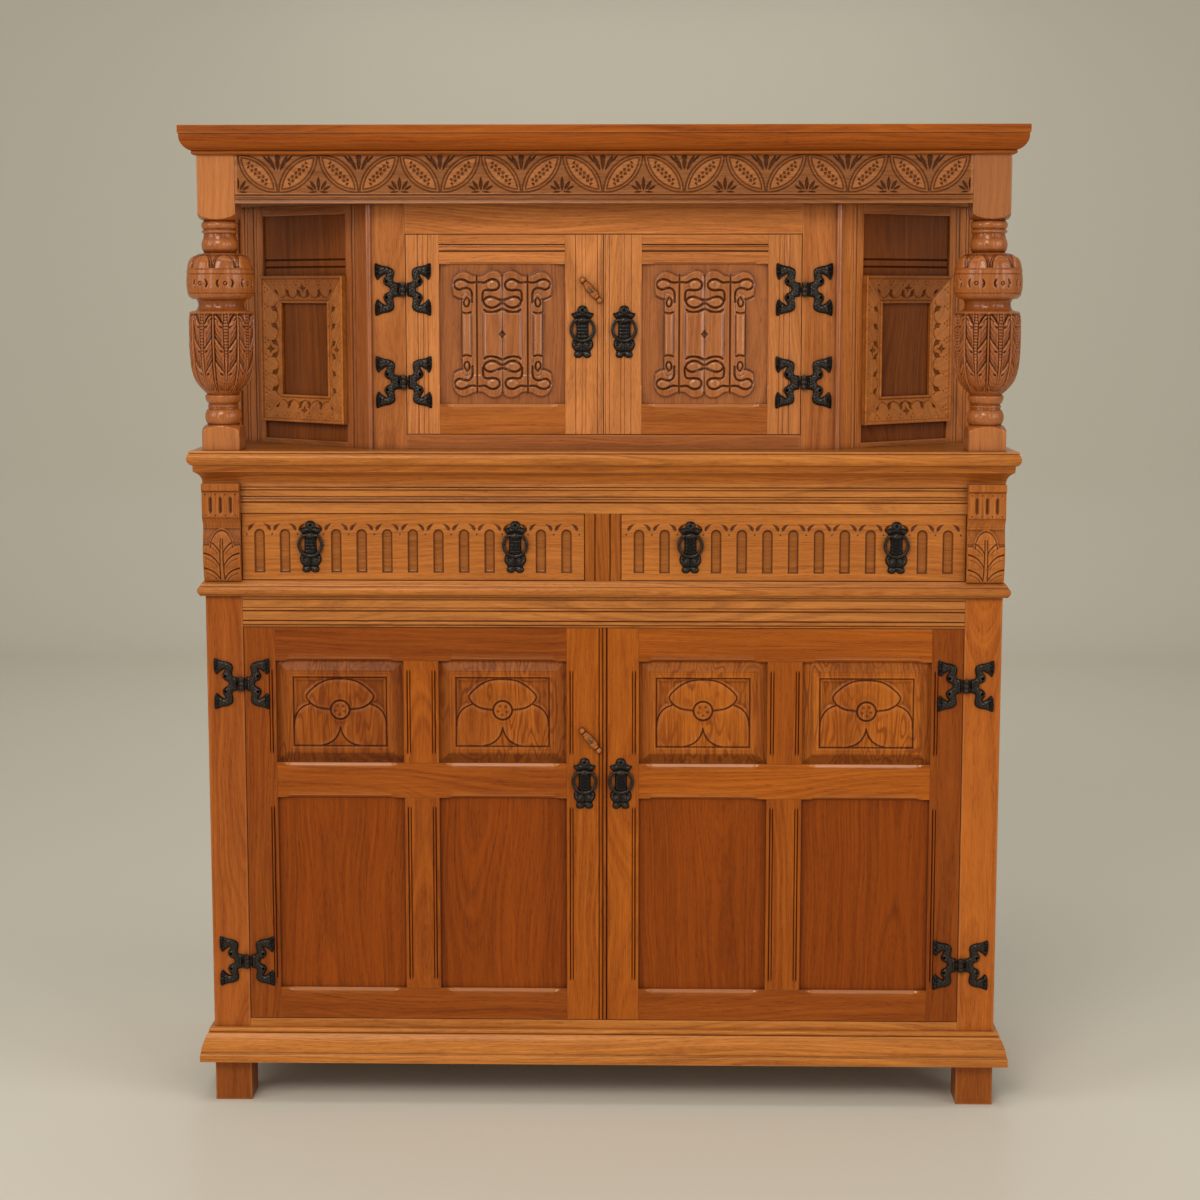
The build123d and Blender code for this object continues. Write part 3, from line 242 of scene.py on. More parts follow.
def polish_and_painted_light_group():
    """Darkens corners and hollows with old wax and painted shade; rubbed edges and painted highlights show
    paler.
    """
    tree, taken, given = new_group(
        "polish and painted light",
        [
            ("Color", "NodeSocketColor", (0.4, 0.2, 0.1, 1)),
            ("Wear and painted light", "NodeSocketFloat", 0.0),
            ("Corner", "NodeSocketFloat", 1.0),
            ("Pores", "NodeSocketFloat", 0.0),
        ],
        [("Color", "NodeSocketColor"), ("Roughness", "NodeSocketFloat")],
    )
    # painted shade: the corner input comes from ambient occlusion and darkens corners and recesses
    dirt_and_painted_shade = spread(tree, taken.outputs["Corner"], 0.25, 0.92, 1.0, 0.0)
    # hollows marked by a negative wear mark are darkened: old wax and painted shade
    hollow_wax_and_shade = spread(tree, taken.outputs["Wear and painted light"], -1.0, 0.0, 1.0, 0.0)
    wax_dirt_and_painted_shade = maths(tree, "MAXIMUM", maths(tree, "MULTIPLY", dirt_and_painted_shade, 0.85), hollow_wax_and_shade)
    # darker towards the bottom: the lowest few centimetres take floor dirt and painted shade
    level = node(tree, "SeparateXYZ", {"Vector": node(tree, "TexCoord").outputs["Object"]})
    wax_dirt_and_painted_shade = maths(tree, "MAXIMUM", wax_dirt_and_painted_shade, spread(tree, level.outputs["Z"], 0.055, 0.075, 0.45, 0.0))
    # paler where the wear mark is high: rubbed edges, and on upward-facing chamfers and some carved ridges a
    # painted highlight
    rub_and_painted_highlight = spread(tree, taken.outputs["Wear and painted light"], 0.0, 1.0)
    waxed = mixed(tree, 1.0, taken.outputs["Color"], (0.13, 0.075, 0.045, 1), "MULTIPLY")
    colour = mixed(tree, maths(tree, "MULTIPLY", wax_dirt_and_painted_shade, 0.9), taken.outputs["Color"], waxed)
    rubbed = mixed(tree, 0.3, taken.outputs["Color"], (0.8, 0.45, 0.2, 1))
    colour = mixed(tree, maths(tree, "MULTIPLY", rub_and_painted_highlight, 0.7), colour, rubbed)
    rough = maths(tree, "MULTIPLY_ADD", wax_dirt_and_painted_shade, 0.3, 0.33)
    rough = maths(tree, "MULTIPLY_ADD", taken.outputs["Pores"], 0.15, rough)
    feed(tree, given.inputs["Color"], colour)
    feed(tree, given.inputs["Roughness"], rough)
    return tree


oak_figure = oak_figure_group()
polish_and_painted_light = polish_and_painted_light_group()


def point_mark(tree, label, kind="Fac"):
    """A mark that the made pieces carry at their points."""
    return node(tree, "Attribute", attribute_name=label).outputs[kind]


def dented(tree, shader, height, strength, distance):
    """Lets a height stand out of the shader's surface."""
    bump = node(tree, "Bump", {"Strength": strength, "Distance": distance, "Height": height})
    feed(tree, shader.inputs["Normal"], bump.outputs["Normal"])


def oak(name, light, dark, fleck=0.0, along=None, coat=0.12):
    """Oak of one tone; made pieces carry their grain, and plain nodes are given an axis for it."""
    material, tree, shader = new_material(name)
    if along is None:
        grain = point_mark(tree, "grain", "Vector")
        wear, tone = point_mark(tree, "wear"), point_mark(tree, "tone")
    else:
        quarter = math.pi / 2
        turn = {"x": (0, 0, 0), "y": (0, 0, -quarter), "z": (0, quarter, 0)}[along]
        place = node(tree, "TexCoord").outputs["Object"]
        fed = {"Vector": place, "Rotation": turn, "Location": (0, 0.31, 0.23)}
        grain = node(tree, "Mapping", fed).outputs["Vector"]
    figure = node(tree, "Group", node_tree=oak_figure)
    for label, value in (("Light", (*light, 1)), ("Dark", (*dark, 1)), ("Fleck", fleck), ("Grain", grain)):
        feed(tree, figure.inputs[label], value)
    colour = figure.outputs["Color"]
    # tone paler or darker per piece: its own board, and on the canted frames and picture frames painted light
    # and shade
    if along is None:
        lighter = maths(tree, "MULTIPLY_ADD", tone, 0.16, 1.0)
        warmer = maths(tree, "MULTIPLY_ADD", tone, 0.002, 0.5)
        shade = node(tree, "HueSaturation", {"Value": lighter, "Hue": warmer, "Color": colour})
        colour = shade.outputs["Color"]
    # painted shade: ambient occlusion darkens corners and recesses through the polish group
    corner = node(tree, "AmbientOcclusion", {"Distance": 0.012}, samples=4).outputs["AO"]
    polish = node(tree, "Group", node_tree=polish_and_painted_light)
    for label, value in (("Corner", corner), ("Pores", figure.outputs["Pores"]), ("Color", colour)):
        feed(tree, polish.inputs[label], value)
    if along is None:
        feed(tree, polish.inputs["Wear and painted light"], wear)
        coat = spread(tree, wear, 0.5, 1.0, coat, 1.0)
    dented(tree, shader, figure.outputs["Height"], 0.35, 0.0004)
    for label, value in (
        ("Base Color", polish.outputs["Color"]), ("Roughness", polish.outputs["Roughness"]),
        ("Coat Weight", coat), ("Coat Roughness", 0.14), ("Coat Tint", (1, 0.9, 0.76, 1)),
        ("Specular IOR Level", 0.22), ("Specular Tint", (1, 0.78, 0.55, 1)),
    ):
        feed(tree, shader.inputs[label], value)
    return material


frame_oak = oak("golden oak", (0.54, 0.165, 0.022), (0.26, 0.062, 0.007), 0.15)
post_oak = oak("post oak", (0.53, 0.142, 0.018), (0.27, 0.058, 0.006), 0.15)
rail_oak = oak("pale golden oak", (0.70, 0.25, 0.046), (0.32, 0.092, 0.014), 0.25)
carved_oak = oak("carved oak", (0.56, 0.18, 0.030), (0.30, 0.075, 0.011), 0.15)
inner_oak = oak("bare oak", (0.34, 0.19, 0.09), (0.2, 0.1, 0.045), 0.3, along="x")

# ---- Posts, rails and plain boards -----------------------------------------------------------
# The carcase is framed in solid oak: square posts that run down as feet, rails tenoned between
# them and thin panels in grooves. Every arris is just eased with a plane.
chance = np.random.default_rng(11)


def wood(points, faces, along, wear=0.0):
    """A piece of wood: points in mm, faces by number of corners, grain, and wear and tone that hold painted
    light too.
    """
    points = np.asarray(points, float)
    local = points[:, {"x": (0, 2, 1), "y": (1, 0, 2), "z": (2, 0, 1)}[along]]
    middle = (local.min(0) + local.max(0)) / 2
    heart = chance.uniform((0, -90, 30), (40000, 90, 130))
    grain = (local - (0, middle[1], local[:, 2].min()) + heart) / 1000
    tone = np.full(len(points), np.clip(chance.normal(0, 0.55), -1, 1))
    wear = np.broadcast_to(wear, len(points)).astype(float)
    return points, [np.asarray(group) for group in faces], grain, wear, tone


def plank(low, high, along, arris=0.6, worn=0.5):
    """A squared length of wood with eased arrises."""
    low, high = np.array(low, float), np.array(high, float)
    rim = np.minimum(3.0, (high - low) * 0.2)
    points, wear, found = [], [], {}

    def corner(axis, signs, inset):
        key = (axis, signs, inset)
        if key not in found:
            place = np.where(np.array(signs) > 0, high, low)
            for other in range(3):
                if other != axis:
                    place[other] -= signs[other] * (arris + inset * rim[other])
            found[key] = len(points)
            points.append(place)
            wear.append(0.0 if inset else worn)
        return found[key]

    quads, tris = [], []
    for axis in range(3):
        first, second = (axis + 1) % 3, (axis + 2) % 3
        for side in (-1, 1):
            ring = []
            for a, b in ((-1, -1), (1, -1), (1, 1), (-1, 1)):
                signs = [0, 0, 0]
                signs[axis], signs[first], signs[second] = side, a, b
                ring.append(tuple(signs))
            inner = [corner(axis, signs, 1) for signs in ring]
            outer = [corner(axis, signs, 0) for signs in ring]
            quads.append(inner)
            for i in range(4):
                j = (i + 1) % 4
                quads.append([outer[i], outer[j], inner[j], inner[i]])
    for axis in range(3):
        first, second = (axis + 1) % 3, (axis + 2) % 3
        for a in (-1, 1):
            for b in (-1, 1):
                ends = []
                for side in (-1, 1):
                    signs = [0, 0, 0]
                    signs[axis], signs[first], signs[second] = side, a, b
                    ends.append(tuple(signs))
                quads.append([corner(first, ends[0], 0), corner(first, ends[1], 0),
                              corner(second, ends[1], 0), corner(second, ends[0], 0)])
    for a in (-1, 1):
        for b in (-1, 1):
            for c in (-1, 1):
                tris.append([corner(axis, (a, b, c), 0) for axis in range(3)])
    points = np.array(points)
    centre = (low + high) / 2
    faces = []
    for group in (np.array(quads), np.array(tris)):
        at = points[group]
        normal = np.cross(at[:, 1] - at[:, 0], at[:, 2] - at[:, 0])
        inward = (normal * (at.mean(1) - centre)).sum(1) < 0
        group[inward] = group[inward][:, ::-1]
        faces.append(group)
    return wood(points, faces, along, wear)


def mirrored(pieces):
    """The same pieces on the other side, each from its own board."""
    flipped = []
    for points, faces, grain, wear, tone in pieces:
        fresh = grain + chance.uniform((0, -0.05, 0), (30, 0.05, 0.05))
        other = 0.75 * tone + np.clip(chance.normal(0, 0.3), -0.5, 0.5)
        flipped.append((points * (-1, 1, 1), [group[:, ::-1] for group in faces], fresh, wear, other))
    return flipped


def both_sides(pieces):
    """The right-hand pieces, then their left-hand mates."""
    return [*pieces, *mirrored(pieces)]


def shifted(pieces, offset):
    """The same pieces moved, with their grain."""
    return [(points + offset, *rest) for points, *rest in pieces]


def toned(tones, pieces):
    """The same pieces, each from a board this much paler or darker, which in places stands for painted light.
    """
    return [(*rest, np.full(len(rest[0]), float(tone))) for tone, (*rest, _) in zip(tones, pieces)]


def put_together(name, pieces, material, body, nodes, sharp=32):
    """Makes one object of these pieces, in place of the plain nodes that they stand for."""
    starts = np.cumsum([0] + [len(piece[0]) for piece in pieces])
    corners, sizes = [], []
    for start, piece in zip(starts, pieces):
        for group in piece[1]:
            if len(group):
                corners.append((group + start).ravel())
                sizes.append(np.full(len(group), group.shape[1]))
    corners, sizes = np.concatenate(corners), np.concatenate(sizes)
    points = np.concatenate([piece[0] for piece in pieces]) / 1000
    mesh = bpy.data.meshes.new(name)
    mesh.vertices.add(len(points))
    mesh.vertices.foreach_set("co", points.ravel())
    mesh.loops.add(len(corners))
    mesh.loops.foreach_set("vertex_index", corners)
    mesh.polygons.add(len(sizes))
    mesh.polygons.foreach_set("loop_start", np.concatenate([[0], np.cumsum(sizes)[:-1]]))
    mesh.update(calc_edges=True)
    # the wear mark also holds painted shade (negative) and painted highlights (positive) on some faces
    for label, kind, field, index in (
        ("grain", "FLOAT_VECTOR", "vector", 2), ("wear", "FLOAT", "value", 3), ("tone", "FLOAT", "value", 4)
    ):
        layer = mesh.attributes.new(label, kind, "POINT")
        layer.data.foreach_set(field, np.concatenate([piece[index] for piece in pieces]).ravel())
    mesh.shade_smooth()
    mesh.set_sharp_from_angle(angle=math.radians(sharp))
    mesh.materials.append(material)
    made = bpy.data.objects.new(name, mesh)
    bpy.context.scene.collection.objects.link(made)
    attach(made, body)
    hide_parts(*nodes)
    return made


hands = (("right", list), ("left", mirrored))
post_inner, half_width, side_inner, upper_inner = 562, 620, 598, 600
front, back, post_back, rear_post_front, back_board_front = -203, 227, -145, 182, 219
foot_height, bottom_rail_top, waist_bottom, waist_top = 68, 135, 766, 839
drawer_head, shelf_bottom, shelf_top, soffit_bottom = 944, 1019, 1041, 1420
top_board_bottom, total_height = 1513, 1535

front_post = plank((post_inner, front, 0), (half_width, post_back, shelf_bottom), "z", 0.9)
put_together("square_front_posts", toned([0.5, -0.4], both_sides([front_post])), post_oak, "carcase",
             ["front_posts"])
rear_post = plank((post_inner, rear_post_front, 0), (half_width, back, shelf_bottom), "z", 0.9)
put_together("square_rear_posts", both_sides([rear_post]), post_oak, "carcase", ["rear_posts"])

rail_depth = 22
put_together(
    "bottom_rails",
    [
        plank((-post_inner, front, foot_height), (post_inner, front + rail_depth, bottom_rail_top), "x"),
        plank((-post_inner, back_board_front - rail_depth, foot_height),
              (post_inner, back_board_front, bottom_rail_top), "x"),
        *both_sides([plank((side_inner, post_back, foot_height),
                           (half_width, rear_post_front, bottom_rail_top), "y")]),
    ],
    rail_oak, "carcase", ["bottom_rails"],
)
lock_rail_low, lock_rail_high, side_waist_low = 494.5, 550, 773.5
side_levels = ((lock_rail_low, lock_rail_high), (side_waist_low, waist_top), (drawer_head, shelf_bottom))
side_rails = [
    plank((side_inner, post_back, low), (half_width, rear_post_front, high), "y") for low, high in side_levels
]
put_together("side_rails", both_sides(side_rails), frame_oak, "carcase", ["side_rails"])
panel_face, panel_thickness, panel_reach = 609, 6, 5.7
side_openings = (
    (bottom_rail_top, lock_rail_low, "z"), (lock_rail_high, side_waist_low, "z"),
    (waist_top, drawer_head, "y"),
)
side_panels = [
    plank((panel_face - panel_thickness, post_back - panel_reach, low - panel_reach),
          (panel_face, rear_post_front + panel_reach, high + panel_reach), along)
    for low, high, along in side_openings
]
put_together("side_panels", both_sides(side_panels), frame_oak, "carcase", ["side_panels"])

# ---- Back and inner boards -------------------------------------------------------------------
# Thin upright boards nailed on behind, and bare unpolished boards for the decks, the shelf and
# the drawer runners.
board_gap, board_count = 0.3, 8
boards = []
for reach, low, high in ((post_inner, foot_height, shelf_bottom), (upper_inner, shelf_top, top_board_bottom)):
    step = 2 * reach / board_count
    for i in range(board_count):
        left = -reach + i * step
        boards.append(plank((left, back_board_front, low), (left + step - board_gap, back, high), "z", 0.8))
back_oak = oak("bare back oak", (0.36, 0.2, 0.095), (0.19, 0.095, 0.042), 0.3, coat=0.02)
put_together("back_boards", boards, back_oak, "carcase", ["back_boards"])
for name in ("bottom_board", "dust_board", "drawer_guides", "inner_shelf", "soffit_board"):
    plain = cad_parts[name]
    plain.data.materials.clear()
    plain.data.materials.append(inner_oak)

# ---- Planted mouldings and the broad shelf ---------------------------------------------------
# Run with a scratch stock or moulding plane in straight lengths of oak, mitred at the front
# corners and pinned on. The shelf is one broad board with its nosing worked on three edges.


def arc(start, through, end, steps=8):
    """Points of a round from start to end by way of a middle point, without the start."""
    (ax, ay), (bx, by), (cx, cy) = start, through, end
    d = 2 * (ax * (by - cy) + bx * (cy - ay) + cx * (ay - by))
    a2, b2, c2 = ax * ax + ay * ay, bx * bx + by * by, cx * cx + cy * cy
    x = (a2 * (by - cy) + b2 * (cy - ay) + c2 * (ay - by)) / d
    y = (a2 * (cx - bx) + b2 * (ax - cx) + c2 * (bx - ax)) / d
    first, last = math.atan2(ay - y, ax - x), math.atan2(cy - y, cx - x)
    middle = math.atan2(by - y, bx - x)
    turn = (last - first) % (2 * math.pi)
    if (middle - first) % (2 * math.pi) > turn:
        turn -= 2 * math.pi
    radius = math.hypot(ax - x, ay - y)
    angles = [first + turn * i / steps for i in range(1, steps + 1)]
    return [(x + radius * math.cos(a), y + radius * math.sin(a)) for a in angles]


def eased(outline, ease=0.45, fade=1.8):
    """Softens the corners of a closed outline (anticlockwise): rubbed outside, dust and painted shade inside.
    """
    outline = np.array(outline, float)
    points, wear = [], []
    for before, here, after in zip(np.roll(outline, 1, 0), outline, np.roll(outline, -1, 0)):
        back_way, on_way = before - here, after - here
        back_length, on_length = np.hypot(*back_way), np.hypot(*on_way)
        turn = math.atan2(-back_way[0] * on_way[1] + back_way[1] * on_way[0], -(back_way @ on_way))
        if abs(turn) < math.radians(28):
            points.append(here)
            wear.append(0.0)
            continue
        for way, length, order in ((back_way, back_length, (fade, ease)), (on_way, on_length, (ease, fade))):
            for step in order:
                if step > length * 0.45:
                    continue
                points.append(here + way / length * step)
                # inner corners dark: dust and painted shade in the crease
                wear.append(0.0 if step == fade else (0.6 if turn > 0 else -0.7))
    return np.array(points), np.array(wear)


def stick(ends, along, wear):
    """A straight length with these two end outlines, whose points match."""
    first, last = ends
    count = len(first)
    points = np.concatenate([first, last])
    i = np.arange(count)
    j = (i + 1) % count
    sides = np.stack([i, j, j + count, i + count], 1)
    caps = [i[::-1][None], (i + count)[None]]
    centre = points.mean(0)
    at = points[sides]
    normal = np.cross(at[:, 1] - at[:, 0], at[:, 3] - at[:, 0])
    if (normal * (at.mean(1) - centre)).sum() < 0:
        sides, caps = sides[:, ::-1], [cap[:, ::-1] for cap in caps]
    return wood(points, [sides, *caps], along, np.concatenate([wear, wear]))


def mitred(outline):
    """Three lengths round the front and both ends; the outline has x outward and y upward."""
    section, wear = eased(outline)
    out, up = section[:, 0], section[:, 1]
    reach, face = half_width + out, front - out
    long_ends = [np.stack([side * reach, face, up], 1) for side in (-1, 1)]
    short_ends = [np.stack([reach, face, up], 1), np.stack([reach, np.full(len(up), back), up], 1)]
    return [stick(long_ends, "x", wear), *both_sides([stick(short_ends, "y", wear)])]


def tiered(outline):
    """One broad board with a moulded edge at the front and ends, and a square back."""
    inward = -40
    section, wear = eased([(inward, outline[0][1]), *outline, (inward, outline[-1][1])])
    kept = section[:, 0] > inward + 1
    section, wear = section[kept], wear[kept]
    # painted shade: the flat top of the shelf is darkened
    wear[-2:] = -0.4
    rings = []
    for out, up in section:
        x, y = half_width + out, front - out
        rings.append([(-x, y, up), (x, y, up), (x, back, up), (-x, back, up)])
    points = np.array(rings).reshape(-1, 3)
    count = len(section)
    i = np.arange(count - 1) * 4
    sides = []
    for k in range(4):
        j = (k + 1) % 4
        sides.append(np.stack([i + k, i + j, i + j + 4, i + k + 4], 1))
    caps = np.array([[3, 2, 1, 0], [4 * count - 4, 4 * count - 3, 4 * count - 2, 4 * count - 1]])
    return wood(points, [np.concatenate([*sides, caps])], "x", np.repeat(wear, 4))


plinth = [
    (0, 68), (21, 68), (21, 80.5), (20.2, 81.2), (20.2, 82.2), (19.6, 82.8),
    *arc((19.6, 82.8), (16.5, 97), (9.5, 112.6)), (6, 113.3),
    *arc((6, 113.3), (8.2, 117.2), (5.5, 120.6)), (3, 121), (0, 121),
]
put_together("plinth_moulding", mitred(plinth), rail_oak, "carcase", ["plinth_moulding"])
waist = [
    (0, 815), (7.5, 815), (7.5, 816.6), *arc((7.5, 816.6), (11, 823), (8, 829.6)), (7, 830.2), (7, 832),
    (1.5, 838.5), (0, 839),
]
put_together("waist_moulding", toned([-0.5] * 3, mitred(waist)), rail_oak, "carcase", ["waist_moulding"])
bed = [
    (0, 991), (1.2, 991), *arc((1.2, 991), (3.4, 1001), (10.5, 1007.5)), (10.5, 1008.4), (13, 1008.6),
    (13.6, 1019), (0, 1019),
]
put_together("bed_moulding", mitred(bed), frame_oak, "carcase", ["bed_moulding"])
nosing = [
    (0, 1019), (15, 1019), *arc((15, 1019), (21.4, 1027.5), (18.6, 1036.6), 10), (17.6, 1037.4),
    (17.6, 1038.2),
    (19, 1038.8), (18.6, 1041), (0, 1041),
]
put_together("shelf_board", [tiered(nosing)], rail_oak, "carcase", ["shelf_board"])

# ---- Reeded rails and the drawer divider -----------------------------------------------------
# The rails over and under the drawers are scratched with beads and quirks for their whole length,
# and the short upright between the drawers with two lines.


def unit(values):
    """The values held between nothing and one."""
    return np.clip(values, 0, 1)


def ridge(off, width):
    """A smooth ridge of height one, so wide, over each place's distance from its middle line."""
    return np.exp(-((off / width) ** 2))


def quirk(at, centre, width, deep):
    """How deep a small rounded groove lies at each place."""
    return deep * np.clip(1 - (2 * (at - centre) / width) ** 2, 0, None)


def bead(at, low, high, drop):
    """How far a small round falls away from its top between its two quirks."""
    across = unit(np.abs(2 * at - low - high) / (high - low))
    inside = (at > low) & (at < high)
    return np.where(inside, drop * (1 - np.sqrt(1 - across**2)), 0)


def reeded(levels, quirks, beads, x_reach):
    """A rail whose face is scratched along its length."""
    low, high = levels
    up = np.linspace(low + 0.4, high - 0.4, int((high - low) / 0.45))
    deep = np.zeros(len(up))
    for centre, width, depth in quirks:
        deep = np.maximum(deep, quirk(up, centre, width, depth))
    for bead_low, bead_high in beads:
        deep += bead(up, bead_low, bead_high, 1.2)
    # dark quirks: old wax and painted shade in the grooves
    wear = 0.3 - 1.1 * unit((deep - 0.3) / 1.3)
    faces = np.concatenate([[[rail_depth, high], [0.5, high]], np.stack([deep, up], 1)[::-1],
                            [[0.5, low], [rail_depth, low]]])
    wear = np.concatenate([[0, 0], wear[::-1], [0, 0]])
    reaches = (-x_reach, x_reach)
    ends = [np.stack([np.full(len(faces), x), front + faces[:, 0], faces[:, 1]], 1) for x in reaches]
    return stick(ends, "x", wear)


over_quirks = ((984.5, 1.8, 1.5), (980, 1.8, 1.5), (969.8, 1.8, 1.5), (965.8, 1.6, 1.4), (961, 2.4, 2.4))
over_rail = reeded((drawer_head, shelf_bottom), over_quirks, ((980.6, 984), (966.4, 969.2), (961.8, 965.2)),
                   post_inner)
put_together("reeded_rail_over_drawers", toned([-0.4], [over_rail]), rail_oak, "carcase", ["drawer_rail"])
under_quirks = ((808.9, 1.8, 1.5), (795.9, 1.6, 1.3), (791, 2.2, 2.2), (775.6, 2.4, 2.4), (768.8, 1.8, 1.8))
under_rail = reeded((waist_bottom, waist_top), under_quirks, ((809.6, 814.6), (791.8, 795.4), (769.4, 774.8)),
                    post_inner)
put_together("reeded_rail_under_drawers", [under_rail], rail_oak, "carcase", ["waist_rail"])
divider_half = 28
across = np.linspace(-divider_half + 0.3, divider_half - 0.3, 150)
lines = np.maximum(quirk(across, -12, 2, 1.7), quirk(across, 11.4, 2, 1.7))
lines = lines + bead(across, -27, -20, 0.5) + bead(across, 20, 27, 0.5)
outline = np.concatenate([[[-divider_half, rail_depth]], [[-divider_half, 0.5]], np.stack([across, lines], 1),
                          [[divider_half, 0.5]], [[divider_half, rail_depth]]])
# dark lines: old wax and painted shade in the grooves
marks = np.concatenate([[0, 0], -unit(lines / 1.3), [0, 0]])
upright_ends = [
    np.stack([outline[:, 0], front + outline[:, 1], np.full(len(outline), z)], 1)
    for z in (waist_top, drawer_head)
]
put_together("drawer_divider", [stick(upright_ends, "z", marks)], frame_oak, "carcase", ["drawer_divider"])

# ---- Drawers ---------------------------------------------------------------------------------
# Two drawers side by side. Each front is a solid oak board carved with a row of round-headed
# flutes under chip-cut arches; the sides, back and bottom behind it are bare thin oak.


def grid_lines(low, high, coarse, *close):
    """Places from low to high, nearer together inside each close stretch (start, end, step)."""
    places = [np.linspace(low, high, max(1, round((high - low) / coarse)) + 1)]
    for start, end, step in close:
        start, end = max(start, low), min(end, high)
        if end > start:
            places.append(np.linspace(start, end, max(1, math.ceil((end - start) / step)) + 1))
    places = np.unique(np.concatenate(places))
    kept = np.concatenate([[True], np.diff(places) > 0.12])
    kept[-1] = True
    return places[kept]


def grid_cells(index):
    """The four corners of every cell in a grid of point numbers."""
    return np.stack([index[:-1, :-1], index[1:, :-1], index[1:, 1:], index[:-1, 1:]], -1)


def carved(us, vs, cut, at, thickness, along, ease=0.45, rim_wear_and_shade=0.45):
    """A board with a carved face: cut gives depth and wear over us by vs, and at gives places."""
    us = np.unique(np.concatenate([us, [us[0] + ease, us[-1] - ease]]))
    vs = np.unique(np.concatenate([vs, [vs[0] + ease, vs[-1] - ease]]))
    u, v = np.meshgrid(us, vs, indexing="ij")
    deep, wear = cut(u, v)
    deep, wear = np.array(deep, float), np.array(wear, float)
    rim = np.zeros(u.shape, bool)
    rim[[0, -1]] = rim[:, [0, -1]] = True
    deep[rim] += ease
    # rims take the given mark: rubbed by default, dark mitre joints and painted shade on the picture frames
    wear[rim] = rim_wear_and_shade
    index = np.arange(u.size).reshape(u.shape)
    face = grid_cells(index).reshape(-1, 4)
    loop = np.concatenate([index[:, 0], index[-1, 1:], index[-2::-1, -1], index[0, -2:0:-1]])
    behind = np.arange(len(loop)) + u.size
    middle = u.size + len(loop)
    nearer, farther = loop, np.roll(loop, -1)
    walls = np.stack([farther, nearer, behind, np.roll(behind, -1)], 1)
    fan = np.stack([np.roll(behind, -1), behind, np.full(len(behind), middle)], 1)
    points = np.concatenate([
        at(u, v, deep).reshape(-1, 3),
        at(u.ravel()[loop], v.ravel()[loop], np.full(len(loop), float(thickness))),
        at(np.array([(us[0] + us[-1]) / 2]), np.array([(vs[0] + vs[-1]) / 2]), np.array([float(thickness)])),
    ])
    wear = np.concatenate([wear.ravel(), np.zeros(len(loop) + 1)])
    corner = points[face[:, :3]].mean(0)
    outward = at(u[:1, 0], v[:1, 0], np.zeros(1)) - at(u[:1, 0], v[:1, 0], np.ones(1))
    if np.cross(corner[1] - corner[0], corner[2] - corner[0]) @ outward[0] < 0:
        face, walls, fan = face[:, ::-1], walls[:, ::-1], fan[:, ::-1]
    return wood(points, [np.concatenate([face, walls]), fan], along, wear)


def facing(face):
    """Places on an upright face that looks to the front."""
    return lambda u, v, deep: np.stack([u, face + deep, v], -1)


def softened(values, spread_cells):
    """A local average over a grid, by a bell-shaped weight of this many cells."""
    reach = int(3 * spread_cells)
    weight = np.exp(-0.5 * (np.arange(-reach, reach + 1) / spread_cells) ** 2)
    weight /= weight.sum()
    for axis in (0, 1):
        padded = np.pad(values, [(reach, reach) if a == axis else (0, 0) for a in (0, 1)], mode="edge")
        size = values.shape[axis]
        values = sum(w * np.take(padded, range(k, k + size), axis) for k, w in enumerate(weight))
    return values


def hollows(deep, cells=2.5, strength=1.4, ground=0.12):
    """Marks over a carved face: dark in its hollows with old wax and painted shade, rubbed on its high places.
    """
    local = deep - softened(deep, cells)
    broad = deep - softened(deep, cells * 5)
    return np.clip(-local * strength - np.clip(broad, 0, None) * strength * 0.25 - deep * ground, -1, 0.6)


drawer_left, drawer_right, drawer_low, drawer_high, drawer_thickness = 29, 561, 840, 943, 20
box_side, box_back, box_low, box_floor, box_top = 10, 175, 839.3, 850.3, 925
drawer_middle, flute_pitch, flute_half = (drawer_left + drawer_right) / 2, 39.8, 8.15
flute_low, flute_round = 851.4, 911.15


def fluted(u, v):
    """Flutes with round heads, arches of chip cuts over them and a peck between each pair."""
    deep, dirt_and_painted_shade = np.zeros(u.shape), np.zeros(u.shape)
    for step in range(-6, 7):
        x = u - (drawer_middle + step * flute_pitch)
        up = v - flute_round
        if abs(step) != 4:
            inside = flute_half - np.where(up > 0, np.hypot(x, up), np.abs(x))
            inside = np.minimum(inside, v - flute_low)
            deep = np.maximum(deep, 3.6 * np.sqrt(unit(1 - (1 - unit(inside / 5.5)) ** 2)))
            # flute walls and floors darkened: old wax and painted shade
            dirt_and_painted_shade = np.maximum(dirt_and_painted_shade, 0.9 * unit(1 - np.abs(inside - 1.2) / 2.1) + 0.32 * (inside > 0))
        angle = np.degrees(np.arctan2(up, np.abs(x)))
        chip = unit(np.minimum((angle - 14) / 14, (74 - angle) / 34))
        off = np.abs(np.hypot(x, up) - 18.0)
        deep = np.maximum(deep, np.where(chip > 0, 2.9 * unit(chip - off / 3.4) ** 0.8, 0))
        for side in (-1, 1):
            peck = np.abs(x - side * flute_pitch / 2) / 2.2 + np.abs(v - 911.0) / 2.8
            deep = np.maximum(deep, 2.0 * unit(1 - peck))
    # chip cuts darkened with old wax and painted shade; the front's top and bottom edges darkened as the
    # painted shadow of the gaps
    cut = np.where(dirt_and_painted_shade > 0, 0, unit(deep / 1.3))
    edge = np.exp(-np.minimum(v - drawer_low, drawer_high - v) / 1.2)
    return deep, np.clip(hollows(deep, 2, 0.3, 0.0) - 0.75 * dirt_and_painted_shade - 0.62 * cut - 0.6 * edge, -1, 0.5)


